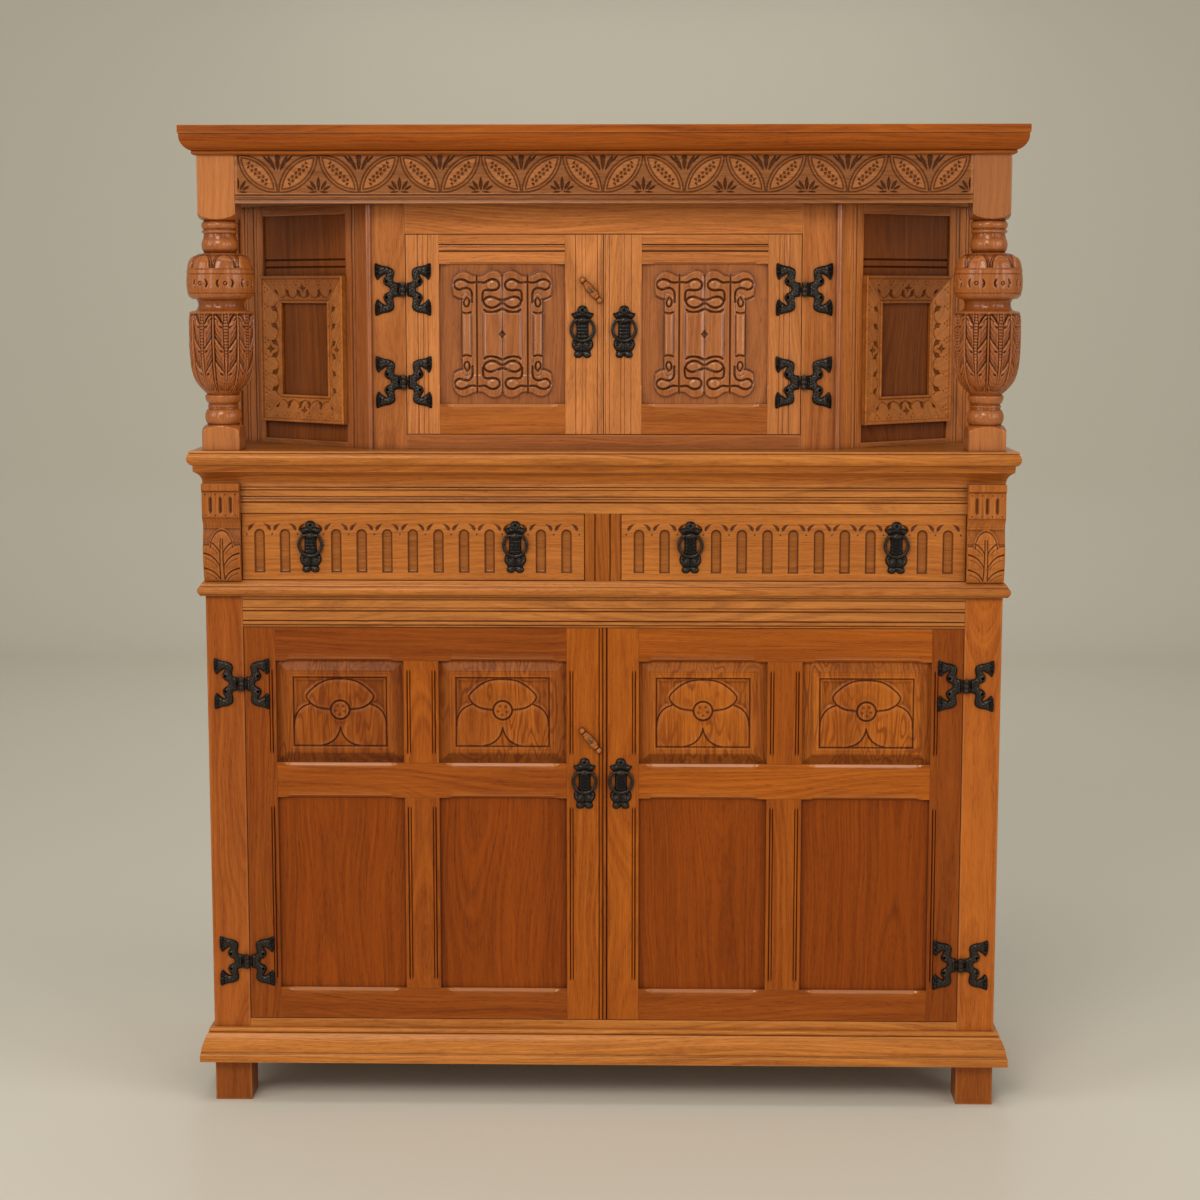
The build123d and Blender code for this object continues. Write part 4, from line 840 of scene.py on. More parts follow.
drawer_front = carved(
    grid_lines(drawer_left, drawer_right, 0.8), grid_lines(drawer_low, drawer_high, 0.75, (851, 858, 0.5)),
    fluted, facing(front), drawer_thickness, "x",
)
box_front, box_left, box_right = front + drawer_thickness, drawer_left + box_side, drawer_right - box_side
groove, rebate, floor_thickness = 3, 5, 5
box_parts = [
    plank((drawer_left, box_front, box_low), (box_left, box_back, box_top), "y"),
    plank((box_right, box_front, box_low), (drawer_right, box_back, box_top), "y"),
    plank((box_left, box_back - box_side, box_floor), (box_right, box_back, box_top), "x"),
    plank((box_left - groove, box_front - rebate, box_floor - floor_thickness),
          (box_right + groove, box_back, box_floor), "x", 0.3),
]
front_oak = oak("drawer front oak", (0.64, 0.22, 0.042), (0.35, 0.102, 0.016), 0.25, coat=0.25)
drawer_oak = oak("bare drawer oak", (0.40, 0.23, 0.11), (0.24, 0.125, 0.055), 0.3, coat=0.02)
for side, pieces in hands:
    put_together(f"{side}_fluted_front", pieces([drawer_front]), front_oak, f"{side}_drawer",
                 [f"{side}_drawer_front"])
    put_together(f"{side}_drawer_boards", pieces(box_parts), drawer_oak, f"{side}_drawer",
                 [f"{side}_drawer_box"])

# ---- Lower doors -----------------------------------------------------------------------------
# Framed doors with a muntin: stopped chamfers on the rails, stopped scratch lines on the uprights,
# plain panels below and fielded panels carved with a three-petalled flower above.
door_thickness, chamfer = 20, 4.0
lower_columns = ((56.5, 257.25), (311.75, 512.5))
tall_row, flower_row = (185.5, lock_rail_low), (lock_rail_high, 712.5)
door_low, door_high, door_meeting, door_hanging = 136, 765, 0.5, 561


def stopped(at, low, high, fade):
    """One inside a stretch and nothing outside it, with a curved fade at both ends."""
    run = unit(np.minimum(at - low, high - at) / fade)
    return run * run * (3 - 2 * run)


def rail(x_range, z_range, edges, face, extra=None):
    """A door rail; edges lists each chamfered edge as its height, side and stretch."""
    def cut(u, v):
        deep, wear = np.zeros(u.shape), np.zeros(u.shape)
        for height, side, low, high in edges:
            inward = side * (v - height)
            along = stopped(u, low + 9, high - 9, 14)
            fall = np.clip(chamfer - inward, 0, chamfer) * along
            deep = np.maximum(deep, fall)
            # pale line along each chamfer's arris: rubbed edge and painted highlight
            wear += 0.9 * ridge(inward - chamfer * along, 0.9) * along
            # upward-facing chamfers paler all over: painted highlight
            wear += (side < 0) * unit(fall / 0.8)
        if extra:
            lines = extra(v)
            deep = deep + lines
            # scratched lines darkened: old wax and painted shade
            wear -= unit(lines / 1.3)
        return deep, wear

    stops = [(x + way * 5, x + way * 28, 1.6) if way > 0 else (x - 28, x - 5, 1.6)
             for _, _, low, high in edges for x, way in ((low, 1), (high, -1))]
    close = [(z_range[0], z_range[0] + 5, 0.6), (z_range[1] - 5, z_range[1], 0.6)]
    if extra:
        close.append((z_range[0], z_range[1], 0.6))
    return carved(grid_lines(*x_range, 30, *stops), grid_lines(*z_range, 12, *close), cut, facing(face),
                  door_thickness, "x")


def upright(x_range, z_range, face, lines=(), beads=()):
    """A stile or muntin; each line is its place, width, depth and stretch."""
    def cut(u, v):
        deep = np.zeros(u.shape)
        for place, width, depth, low, high in lines:
            deep = np.maximum(deep, quirk(u, place, width, depth) * stopped(v, low, high, 7))
        for low, high, drop in beads:
            deep = deep + bead(u, low, high, drop)
        # dark lines: old wax and painted shade in the grooves
        return deep, -unit(deep / 1.2)

    close_x = [(place - width, place + width, 0.35) for place, width, _, _, _ in lines]
    close_x += [(low, high, 0.5) for low, high, _ in beads]
    close_z = [(end - 9, end + 9, 1.2) for *_, low, high in lines for end in (low, high)]
    return carved(grid_lines(*x_range, 12, *close_x), grid_lines(*z_range, 40, *close_z), cut, facing(face),
                  door_thickness, "z")


def lines_beside(edge, way, row):
    """The two stopped lines scratched along an upright beside a panel."""
    low, high = row[0] + 12, row[1] - 12
    return [(edge + way * 5.5, 2.3, 1.9, low, high), (edge + way * 9.8, 2.0, 1.5, low, high)]


def lower_frame(line, bead_edge):
    """All members of a right-hand door; the line and the bead run up its meeting stile."""
    left, right = lower_columns[0][0], lower_columns[1][1]
    inner, outer = lower_columns[0][1], lower_columns[1][0]
    meeting_lines = [(*line, 0, 2000)]
    for row in (tall_row, flower_row):
        meeting_lines += lines_beside(left, -1, row)
    hanging_lines = [line for row in (tall_row, flower_row) for line in lines_beside(right, 1, row)]
    members = [
        upright((door_meeting, left), (door_low, door_high), front, meeting_lines, [(0.9, bead_edge, 0.9)]),
        upright((right, door_hanging), (door_low, door_high), front, hanging_lines),
        rail((left, right), (flower_row[1], door_high), [(flower_row[1], 1, *c) for c in lower_columns],
             front),
        rail((left, right), (tall_row[1], flower_row[0]),
             [(tall_row[1], 1, *c) for c in lower_columns] + [(flower_row[0], -1, *c) for c in lower_columns],
             front),
        rail((left, right), (door_low, tall_row[0]), [(tall_row[0], -1, *c) for c in lower_columns], front),
    ]
    for row in (tall_row, flower_row):
        lines = lines_beside(inner, 1, row) + lines_beside(outer, -1, row)
        members.append(upright((inner, outer), row, front, lines))
    return members


def flowing(line, closed=False, share=0.25):
    """A line with its corners cut twice."""
    points = np.array(line, float)
    for _ in range(2):
        before, after = (points, np.roll(points, -1, 0)) if closed else (points[:-1], points[1:])
        cut = [before * (1 - share) + after * share, before * share + after * (1 - share)]
        cut = np.stack(cut, 1).reshape(-1, 2)
        points = cut if closed else np.concatenate([points[:1], cut, points[-1:]])
    return points


def nearest(line, x, z):
    """Distance of each place from a line, and the nearest place on the line."""
    best, at_x, at_z = np.full(x.shape, 1e9), np.zeros(x.shape), np.zeros(x.shape)
    for (x0, z0), (x1, z1) in zip(line[:-1], line[1:]):
        run_x, run_z = x1 - x0, z1 - z0
        part = unit(((x - x0) * run_x + (z - z0) * run_z) / (run_x**2 + run_z**2 + 1e-12))
        near_x, near_z = x0 + part * run_x, z0 + part * run_z
        away = np.hypot(x - near_x, z - near_z)
        closer = away < best
        best, at_x, at_z = (np.where(closer, *pair) for pair in ((away, best), (near_x, at_x), (near_z, at_z)))
    return best, at_x, at_z


def off_line(line, x, z):
    """Distance of each place from a line."""
    return nearest(line, x, z)[0]


def within(outline, x, z):
    """Whether each place lies inside a closed outline."""
    inside = np.zeros(x.shape, bool)
    for (x0, z0), (x1, z1) in zip(outline, np.roll(outline, -1, 0)):
        crossed = (z0 > z) != (z1 > z)
        inside ^= crossed & (x < x0 + (z - z0) * (x1 - x0) / (z1 - z0 if z1 != z0 else 1e-12))
    return inside


flower_cell = 0.8
square_across, square_up, boss_height = 72.7, 54.3, 2.9
top_petal = [(0, 52.4), (12, 52), (24, 49.6), (36, 43), (45, 35.4), (51.4, 28.6), (53.2, 24), (51.6, 19),
             (47, 13.5), (40, 8.8), (33, 5.6), (16, 3.4)]
side_petal = [(47.4, 12.6), (53, 10.6), (60, 7), (66, 1), (70, -6), (72.2, -14), (72.7, -22)]
foot_cusp = [(0, -25), (1.5, -32), (5, -39.5), (11, -46.5), (20, -51.8), (30, -54.3)]


def flower(u, v, middle):
    """Bevelled field with a scratched square round a flower of three petals and a boss."""
    x, z = np.abs(u - middle[0]), v - middle[1]
    half_w, half_h = 100.4, (flower_row[1] - flower_row[0]) / 2
    edge = np.minimum(half_w - x, half_h - np.abs(z))
    deep = 7 - 5.2 * unit((edge - 3) / 13.5)
    step = 0.6 * unit(1 - np.abs(edge - 17.2) / 0.9) + 0.35 * unit(1 - np.abs(edge - 20.6) / 0.8)
    square = np.maximum(x - square_across, np.abs(z) - square_up)
    top_line, side_line, foot_line = flowing(top_petal), flowing(side_petal), flowing(foot_cusp)
    lines = np.minimum.reduce([off_line(line, x, z) for line in (top_line, side_line, foot_line)])
    corner = np.concatenate([top_line[:-20], side_line, [[square_across, square_up], [0, square_up]]])
    in_corner = within(corner, x, z) & (square < 0)
    in_foot = within(np.concatenate([foot_line, [[0, -square_up]]]), x, z) & (square < 0)
    rim = 2.2 * unit(1 - np.abs(square) / 2.0)
    cut = np.maximum(rim, 2.5 * unit(1 - lines / 2.2) * (square < 0.5))
    away = unit(np.minimum(lines, -square) / 2.0)
    ground = (0.5 + 0.52 * np.clip(np.minimum(lines, -square), 0,
                                   6)) * in_corner * away + 1.1 * in_foot * away
    radius = np.hypot(x, z - boss_height)
    petal = (square < 0) & ~in_corner & ~in_foot
    bow = 1.1 * np.exp(-np.clip(np.minimum(lines, -square), 0, None) / 3.6) + 1.2 * ridge(radius - 19, 7.5)
    carving = np.maximum(np.where(petal, bow, ground), cut)
    boss = unit((13.4 - radius) / 1.2)
    turn = np.arctan2(z - boss_height, u - middle[0])
    dimple = 1.3 * unit(0.4 + np.cos(5 * turn + 1.2)) * ridge(radius - 7.2, 3.2) + 0.8 * ridge(radius, 1.8)
    carving = carving * (1 - boss) + (dimple - 0.5 * np.sqrt(unit(1 - (radius / 13.4) ** 2))) * boss
    groove = 2.6 * unit(1 - ((radius - 14.9) / 2.2) ** 2)
    carving = np.maximum(carving, groove)
    # painted shade: cut lines, the groove round the boss, the steps, the dimples and the bevels are darkened,
    # the downward-facing lower bevel most, with old wax in the cuts too
    dirt_and_painted_shade = unit(cut / 1.6) * 0.85 + unit(groove / 2) * 0.9 + 0.5 * unit(step / 0.6) + 0.3 * dimple * boss
    dirt_and_painted_shade = dirt_and_painted_shade + 0.28 * (edge < 16.5) + 0.3 * (edge < 16) * (half_h + z < half_w - x)
    wear = hollows(carving, 2, 0.8, 0.0) - dirt_and_painted_shade + 0.2 * petal * ridge(lines - 4, 2)
    return deep + carving + step, np.clip(wear, -1, 0.5)


def flower_panel(column):
    middle = ((column[0] + column[1]) / 2, (flower_row[0] + flower_row[1]) / 2)
    return carved(
        grid_lines(column[0], column[1], flower_cell), grid_lines(*flower_row, flower_cell),
        lambda u, v: flower(u, v, middle), facing(front), 13, "z", 0.05,
    )


door_oak = oak("door oak", (0.47, 0.118, 0.010), (0.23, 0.044, 0.003), 0.15, coat=0.04)
panel_oak = oak("red panel oak", (0.32, 0.061, 0.003), (0.16, 0.026, 0.001), 0.1, coat=0.02)
field_oak = oak("fielded panel oak", (0.48, 0.126, 0.013), (0.22, 0.044, 0.004), 1.3, coat=0.03)
plain_panels = [
    plank((low - 1, front + 7, tall_row[0] - 1), (high + 1, front + 13, tall_row[1] + 1), "z", 0.2, 0)
    for low, high in lower_columns
]
flower_panels = [flower_panel(column) for column in lower_columns]
for side, pieces, meeting, tones, panel_tones in (
    ("right", list, ((6.4, 2.4, 2.6), 5.4), (0.6, -1.6, 0.1, 0.9, -1.0, 0.2, 0), (1.3, 1.3)),
    ("left", mirrored, ((5.6, 2.0, 1.8), 4.9), (0.6, -1.3, -1.6, -0.2, -1.4, -0.2, 0.2), (0.2, -0.5)),
):
    body = f"lower_{side}_door"
    put_together(f"lower_{side}_framing", toned(tones, pieces(lower_frame(*meeting))), door_oak, body,
                 [body + "_frame"])
    put_together(f"lower_{side}_plain_panels", pieces(plain_panels), panel_oak, body, [body + "_panels"])
    put_together(f"lower_{side}_flower_panels", toned(panel_tones, pieces(flower_panels)), field_oak, body,
                 [body + "_panels"])

# ---- Cup-and-cover pillars -------------------------------------------------------------------
# Each pillar is turned from one square length of oak that is left square at its foot and head.
# The cup is carved with eight acanthus leaves, the cover with eight lobes over a punched band.
pillar_x, pillar_y, pillar_half = 591, -174, 29
round_parts = 400
shoulder, neck_radius = 11, 24


def turned(levels, radius, along="z"):
    """A round length: radius gives each place's radius and wear from its angle and level."""
    angle, level = np.meshgrid(np.linspace(0, 2 * math.pi, round_parts, endpoint=False), levels,
                               indexing="ij")
    reach, wear = radius(angle, level)
    index = np.arange(angle.size).reshape(angle.shape)
    after = np.roll(index, -1, 0)
    side = grid_cells(np.concatenate([index, index[:1]])).reshape(-1, 4)
    low, high = angle.size, angle.size + 1
    caps = np.concatenate([
        np.stack([after[:, 0], index[:, 0], np.full(round_parts, low)], 1),
        np.stack([index[:, -1], after[:, -1], np.full(round_parts, high)], 1),
    ])
    points = np.stack([reach * np.sin(angle), -reach * np.cos(angle), level], -1).reshape(-1, 3)
    points = np.concatenate([points, [[0, 0, levels[0]], [0, 0, levels[-1]]]])
    return wood(points, [side, caps], along, np.concatenate([wear.ravel(), [0, 0]]))


def square_block(low, high, shoulder_up):
    """A square length whose inner end is turned down to a shoulder."""
    def radius(angle, level):
        square = pillar_half / np.maximum(np.abs(np.cos(angle)), np.abs(np.sin(angle)))
        square = np.minimum(square, pillar_half * math.sqrt(2) - 0.8)
        rise = (high - level) if shoulder_up else (level - low)
        slope = neck_radius + 17 * (1 - (1 - unit(rise / shoulder)) ** 1.6)
        reach = np.where(rise < shoulder, np.minimum(square, slope), square)
        end = (level - low) if shoulder_up else (high - level)
        reach = reach - 0.5 * unit(1 - end / 0.6)
        cut = (reach < square - 0.3) & (rise < shoulder)
        return reach, np.where(cut, 0.1, 0.75)

    inner = np.linspace(0, shoulder, 12)
    outer = np.array([0, 0.6, 4])
    if shoulder_up:
        levels = np.concatenate([low + outer, high - inner[::-1]])
    else:
        levels = np.concatenate([low + inner, high - outer[::-1]])
    return turned(levels, radius)


pillar_profile = [
    (1081, 24), (1081.2, 25), *arc((1081.2, 25), (1092, 28.4), (1103.6, 25)), (1104.2, 23.2), (1107, 23),
    (1107.6, 23.6),
    (1109, 23.9), (1110.4, 23.6), (1111, 22.4), (1113, 22.6),
    *arc((1113, 23.4), (1119.5, 27), (1124.5, 27.6)), (1126.2, 26.6),
    (1127, 24.8), (1128.6, 25.6), (1131, 28.6), (1134.6, 32.4), (1138, 35.6), (1142, 39.0), (1146, 41.8),
    (1150, 43.9), (1154, 45.5),
    (1160, 47.3), (1166, 48.7), (1173, 49.8), (1181, 50.7), (1190, 51.3), (1203.5, 51.8), (1226.6, 51.8),
    (1244.2, 51.5), (1249, 50.9),
    (1252.4, 49.6), (1254.6, 47.6), (1255.6, 42), (1256.6, 38.6),
    *arc((1256.6, 38.6), (1264.5, 35.2), (1272.4, 37.6)), (1273.2, 39.6), (1273.6, 43.4),
    *arc((1273.6, 43.4), (1277, 48.6), (1281.6, 51)),
    (1282.2, 50.4), (1283, 50.4), (1283.6, 51.6), (1290, 52.4), (1300, 52.7), (1310.6, 52.4), (1311.4, 51.4),
    (1312.2, 51.4), (1313, 52.1),
    (1318, 51.8), (1318.8, 50.9), (1319.6, 50.9), (1320.4, 51.3), (1324, 50.7), (1328, 49.8), (1331, 48.9),
    (1334, 47.4), (1336.6, 45.2),
    (1339, 42), (1341, 38.2), (1342.6, 33.6), (1343.6, 27.4), (1344.4, 24.4), (1345.6, 25.4),
    *arc((1346, 26), (1355, 28.5), (1365, 26), 8), (1371, 24.6),
    (1373, 24.6), (1373.6, 25.8), *arc((1373.8, 26.2), (1376.4, 27.7), (1378.6, 26.2), 6), (1379, 25),
    (1380, 25),
    *arc((1380.2, 25.8), (1386, 28.3), (1391.6, 25.6), 8), (1392, 24.6), (1392.7, 24),
]
cup_low, cup_top, cover_low, cover_line, cover_top = 1129.5, 1252.5, 1283.6, 1320.4, 1343


def leaf_cutting(angle, level):
    """Depth of the carving on the cup: eight lobed leaves that overlap upward, between fillets."""
    t = ((angle / (2 * math.pi) * 8 + 0.12) % 1) * 2 - 1
    x = np.abs(t) * 20.2
    rise = level - cup_low
    band = unit(np.minimum(rise / 5, (cup_top - level) / 2.2))
    taper = np.clip(rise / 45, 0.35, 1)
    stem = 1.6 + 2.6 * unit((rise - 20) / 80) * np.clip((118 - rise) / 12, 0.4, 1)
    deep = 2.0 * ridge(x - 18.4, 0.8) + 0.9 * unit((19.6 - x) / 1.2)
    feather = (rise - 1.0 * (x - stem) - 0.02 * (x - stem) ** 2 + 6) / 37
    part = feather % 1
    lobe = 2.6 * (1 - part) ** 1.4 * np.clip((x - stem) / 5, 0.25, 1) + 0.6 * ((x - 11) / 7) ** 2
    small = (rise - 1.5 * (x - stem)) / 9.25 % 1
    lobe += 0.9 * ridge((np.minimum(small, 1 - small)) * 9.25, 1.0) * unit((x - stem - 2) / 3)
    lobe += 1.6 * ridge((np.minimum(part, 1 - part)) * 37, 1.3) * (x > stem)
    deep = np.where((x > stem) & (x < 18.4), deep + lobe * taper, deep)
    deep += 1.8 * ridge(x - stem, 0.8) * taper
    deep += (0.9 + 0.7 * np.cos(rise * 1.35)) * (x < stem) * unit((rise - 40) / 20)
    for eye in (1159, 1194, 1231):
        pit = np.hypot((x - 7.4) / 3.4, (level - eye - 0.5 * (x - 7.4)) / 1.9)
        deep += 3.0 * unit(1 - pit) ** 0.6
    fan = np.hypot(20.2 - x, level - 1236)
    deep += 1.9 * ridge(fan - 13.5, 1.1) * (level > 1238)
    deep += 1.5 * ridge(fan - 8.5, 1.0) * (level > 1238)
    return deep * band


def cover_cutting(angle, level):
    """Depth of the carving on the cover: round lobes on its shoulder and a punched band round it."""
    t = ((angle / (2 * math.pi) * 8 + 0.12) % 1) * 2 - 1
    side = np.abs(t)
    on_dome = (level > cover_line) & (level < cover_top)
    arch = ((side / 0.78) ** 2.4 + np.clip((level - cover_line) / 19.5, 0, None) ** 2.4) ** (1 / 2.4)
    outer = ((side / 0.97) ** 2.4 + np.clip((level - cover_line) / 23, 0, None) ** 2.4) ** (1 / 2.4)
    deep = np.where(arch < 1, 0.5 * arch**4, 2.0)
    deep += 1.9 * ridge(arch - 1.03, 0.06)
    deep += 1.6 * ridge(outer - 1, 0.05)
    deep = np.where(on_dome, deep * unit((level - cover_line) / 1.2) * unit((cover_top - level) / 2.5), 0)
    x, z = t * 20.4, level - 1297.5
    marks = 1.9 * unit(1 - np.abs(np.hypot(x, z) - 2.5) / 1.2)
    for way in (-1, 1):
        curve = np.hypot(way * x - 6.4, z) - 6.0
        marks = np.maximum(marks, 2.9 * unit((1 - np.abs(curve) / 2.4) * unit((way * x - 8.8) / 2)))
    return deep + marks * (level < 1308)


def pillar_radius(angle, level):
    """The turned line less its carving, and how worn it is."""
    known = np.array(pillar_profile)
    base = np.interp(level, known[:, 0], known[:, 1])
    deep = leaf_cutting(angle, level) * ((level > cup_low) & (level < cup_top))
    deep += cover_cutting(angle, level) * (level > cover_low)
    wrapped = np.pad(deep, ((20, 20), (0, 0)), mode="wrap")
    # dark carved hollows and coves: old wax and painted shade; paler beads and uncarved faces where rubbed
    wear = hollows(wrapped, 2, 1.3, 0.13)[20:-20] + 0.2 * (deep < 0.2)
    turned_line = base - softened(base, 3)
    return base - deep, np.clip(wear + np.clip(turned_line, -1, 0.25) * 0.5, -1, 0.6)


punched_top = 1310
carved_parts = [
    grid_lines(cup_low + 0.3, cup_top, 0.95), grid_lines(cover_low, punched_top, 0.85),
    grid_lines(cover_line, cover_top, 0.7),
]
known_levels = np.array([z for z, _ in pillar_profile])
plain = np.ones(len(known_levels), bool)
for levels in carved_parts:
    plain &= (known_levels < levels[0] - 0.1) | (known_levels > levels[-1] + 0.15)
pillar_levels = np.unique(np.concatenate([known_levels[plain], *carved_parts]))
pillar = [
    square_block(shelf_top, pillar_profile[0][0], True),
    turned(pillar_levels, pillar_radius),
    square_block(pillar_profile[-1][0], top_board_bottom, False),
]
pillar_oak = oak("pillar oak", (0.50, 0.152, 0.03), (0.25, 0.06, 0.010), 0.2, coat=0.6)
for side, sign, tones in (("right", 1, (0.3, 0, -1.6)), ("left", -1, (0.3, 0, 1.1))):
    standing_there = toned(tones, shifted(pillar, (sign * pillar_x, pillar_y, 0)))
    put_together(f"{side}_pillar", standing_there, pillar_oak, "carcase", ["pillars"], sharp=40)

# ---- Canopy ----------------------------------------------------------------------------------
# A deep frieze board between the pillar heads is carved with pairs of leaning pointed leaves and
# sprays between them; over it lie a plain top board and a mitred cornice of fillet, ovolo and bead.
frieze_low, frieze_thickness = 1418.5, 25
leaf_pair, pair_count = 123.9, 9
band_low, band_high = 1433.5, 1493


def pointed_leaf(x, z, tip, end, bulge):
    """About how far inside a leaf between two pointed tips each place is."""
    (x0, z0), (x1, z1) = tip, end
    length = math.hypot(x1 - x0, z1 - z0)
    ux, uz = (x1 - x0) / length, (z1 - z0) / length
    run = (x - x0) * ux + (z - z0) * uz - length / 2
    off = (z - z0) * ux - (x - x0) * uz
    radius = ((length / 2) ** 2 + bulge**2) / (2 * bulge)
    return radius - np.hypot(run, np.abs(off) + radius - bulge), run, off


def sunk(x, z, leaves):
    """Depth of pointed hollows on both sides of a line, each listed by its tips and half width."""
    deep = np.zeros(x.shape)
    for tip, end, bulge in leaves:
        deep = np.maximum(deep, 2.3 * unit(pointed_leaf(np.abs(x), z, tip, end, bulge)[0] / 1.5) ** 0.8)
    return deep


def frieze_cutting(u, v):
    """Depth and wear of the frieze; half a pair of leaves is worked out and repeated along it."""
    x = (u + leaf_pair * pair_count / 2) % leaf_pair
    inside_run = np.abs(u) < leaf_pair * pair_count / 2
    z = v - band_low
    tall = band_high - band_low
    near = np.where(x < leaf_pair / 2, x, leaf_pair - x)
    leaf, run, off = pointed_leaf(near, z, (1.4, tall - 1.2), (60.6, 1.4), 17.2)
    outer = 2.5 * unit(1 - np.abs(leaf) / 2.3)
    inner = 2.3 * unit(1 - np.abs(leaf - 4.5) / 2.0)
    run = run + 1.9 * np.sign(off)
    peck = np.abs((run / 7.6) % 1 - 0.5) * 7.6
    marks = 2.4 * unit((1 - peck / 3.8 - np.abs(np.abs(off) - 2.5) / 3.6) * 1.8)
    deep = np.maximum(outer, inner)
    deep = np.where((leaf > 5.6) & (np.abs(run) < 19.5), np.maximum(deep, marks), deep)
    hanging = sunk(near - leaf_pair / 2, tall - z, [
        ((0, 0.6), (0, 25), 3.3), ((3.4, 26), (15.5, 1.2), 2.9), ((9.5, 16), (24, 1.2), 2.0),
        ((0, 0.5), (0, 11), 4.6),
    ])
    standing = sunk(near, z, [
        ((0, 3), (0, 25.5), 2.9), ((3.2, 4.5), (12.8, 19.5), 2.7), ((6.5, 4.2), (19, 11.5), 2.1),
        ((1, 2.6), (15.5, 1.2), 1.5),
    ])
    outside = (leaf < -0.5) & inside_run
    leafage = np.where(outside, np.maximum(hanging, standing), 0)
    ground = 0.7 * unit(-leaf / 1.5) * outside
    field = unit(np.minimum(z, tall - z) / 0.9)
    deep = np.maximum(deep * inside_run, leafage + ground) * field
    lines = quirk(v, 1430.8, 2.2, 1.7) + quirk(v, 1427.6, 1.4, 0.8) + quirk(v, 1424.2, 2.4, 1.6)
    edge = 0.35 * ridge(v - 1420.5, 3)
    # carved leaves, sprays, sunk ground and the lines below darkened: old wax and painted shade in the cuts
    dark = unit((deep - 0.4) / 1.2) * 0.76 + 0.34 * ground
    return deep + lines, np.clip(edge - dark - 0.7 * unit(lines / 1.3), -1, 0.5)


frieze_front = carved(
    grid_lines(-post_inner, post_inner, 0.85), grid_lines(frieze_low, top_board_bottom, 6, (1425, 1491, 0.8)),
    frieze_cutting, facing(front), frieze_thickness, "x",
)
frieze_oak = oak("frieze oak", (0.48, 0.175, 0.054), (0.24, 0.073, 0.019), 0.2)
put_together("carved_frieze", [frieze_front], frieze_oak, "carcase", ["frieze"])
frieze_end = plank((upper_inner, post_back, frieze_low), (half_width, back, top_board_bottom), "y")
put_together("end_friezes", both_sides([frieze_end]), frame_oak, "carcase", ["frieze"])
top_plank = plank((-half_width, front, top_board_bottom), (half_width, back, total_height), "x", 0.4)
put_together("top_plank", [top_plank], frame_oak, "carcase", ["top_board"])
cornice = [
    (0, 1491.5), (1, 1491.5), *arc((1, 1491.6), (5.8, 1492.6), (6.8, 1496), 6), (5.8, 1496.5), (5.8, 1497.6),
    (8, 1498),
    *arc((8, 1498), (19.4, 1508), (22.2, 1521.6), 10), (22.2, 1522.6), (23.9, 1523), (23.9, 1535), (0, 1535),
]
put_together("cornice_moulding", mitred(cornice), door_oak, "carcase", ["cornice"])

# ---- Recessed upper cupboard -----------------------------------------------------------------
# Set back behind the pillars: a sill, a head and two stiles framed round a pair of small doors.
upper_front, upper_corner, upper_opening = -157, 363, 307.3
upper_sill_top, upper_opening_top = 1063.4, 1373.4
face_thickness = 22
face_back = upper_front + face_thickness
mitre_back = face_thickness * math.tan(math.radians(20))


def standing(plan, low, high, wear=None):
    """An upright length with this plan (anticlockwise)."""
    if wear is None:
        plan, wear = eased(plan)
    ends = [np.concatenate([plan, np.full((len(plan), 1), z)], 1) for z in (low, high)]
    return stick(ends, "z", wear)


stile_plan = [
    (upper_opening, upper_front), (upper_corner, upper_front),
    (upper_corner - mitre_back, face_back), (upper_opening, face_back),
]
face_members = [
    plank((-upper_opening, upper_front, shelf_top), (upper_opening, face_back, upper_sill_top), "x"),
    plank((-upper_opening, upper_front, upper_opening_top), (upper_opening, face_back, soffit_bottom), "x"),
    *both_sides([standing(stile_plan, shelf_top, soffit_bottom)]),
]
shaded_oak = oak("upper frame oak", (0.62, 0.215, 0.056), (0.29, 0.082, 0.017), 0.2, coat=0.35)
face_members = toned([-1.4, 1.2, 0.2, 0.2], face_members)
put_together("upper_face_frame", face_members, shaded_oak, "carcase", ["face_frame"])

# ---- Upper doors -----------------------------------------------------------------------------
# Two small framed doors with beaded stiles and reeded top rails. Their panels stand in grooves and
# are carved as folded linen: rounded folds that end in curled hems above and below.
upper_low, upper_high, upper_hanging = 1064.4, 1372.4, 306.3
upper_panel_x, upper_panel_z = (59.5, 254.8), (1111.2, 1327.1)
cloth_edge = [
    (-9, -9), (-9, 96), (0, 90.5), (4, 96), (9, 98.3), (16, 98.5), (23, 96), (29, 91), (34, 89.5), (44, 90),
    (50, 93.5), (57, 96.5),
    (64, 96.5), (71, 93), (75.5, 87), (77, 80), (77, 66), (75.5, 59), (62.5, 54.5), (62.5, -9),
]
curled_hem = [
    (30.5, 52), (30.5, 63.5), (28.5, 67.4), (24, 68.6), (17, 67.8), (10, 68.6), (6, 71), (4.5, 75.5),
    (5.5, 80), (10, 84), (17, 85),
    (22, 82.5), (28, 79.3), (34, 80.3), (40, 80.3), (47, 79.5), (53, 80.3), (58, 83.5), (66, 85), (73, 81.5),
    (75, 76.5), (72, 70.8),
    (66, 68.6), (60, 71.3), (53, 71.4), (48.3, 68), (46.8, 62), (46.8, 50),
]
second_fold = [
    (0, 52.8), (6, 53.8), (12, 56.5), (19, 58.3), (25, 56.5), (28.6, 53), (29.2, 50.6), (28, 47), (23, 42.6),
    (16, 40.8), (9, 42.8),
    (4, 46.6), (0, 47.8),
]
last_fold = [(0, 39), (3, 38.4), (8, 35.8), (16, 33.9), (23, 34.6), (28.6, 37.8)]
scroll_top = [(62.6, 34), (62.6, 58), (60, 62.5), (55.5, 64.2), (51, 62), (48.8, 56)]
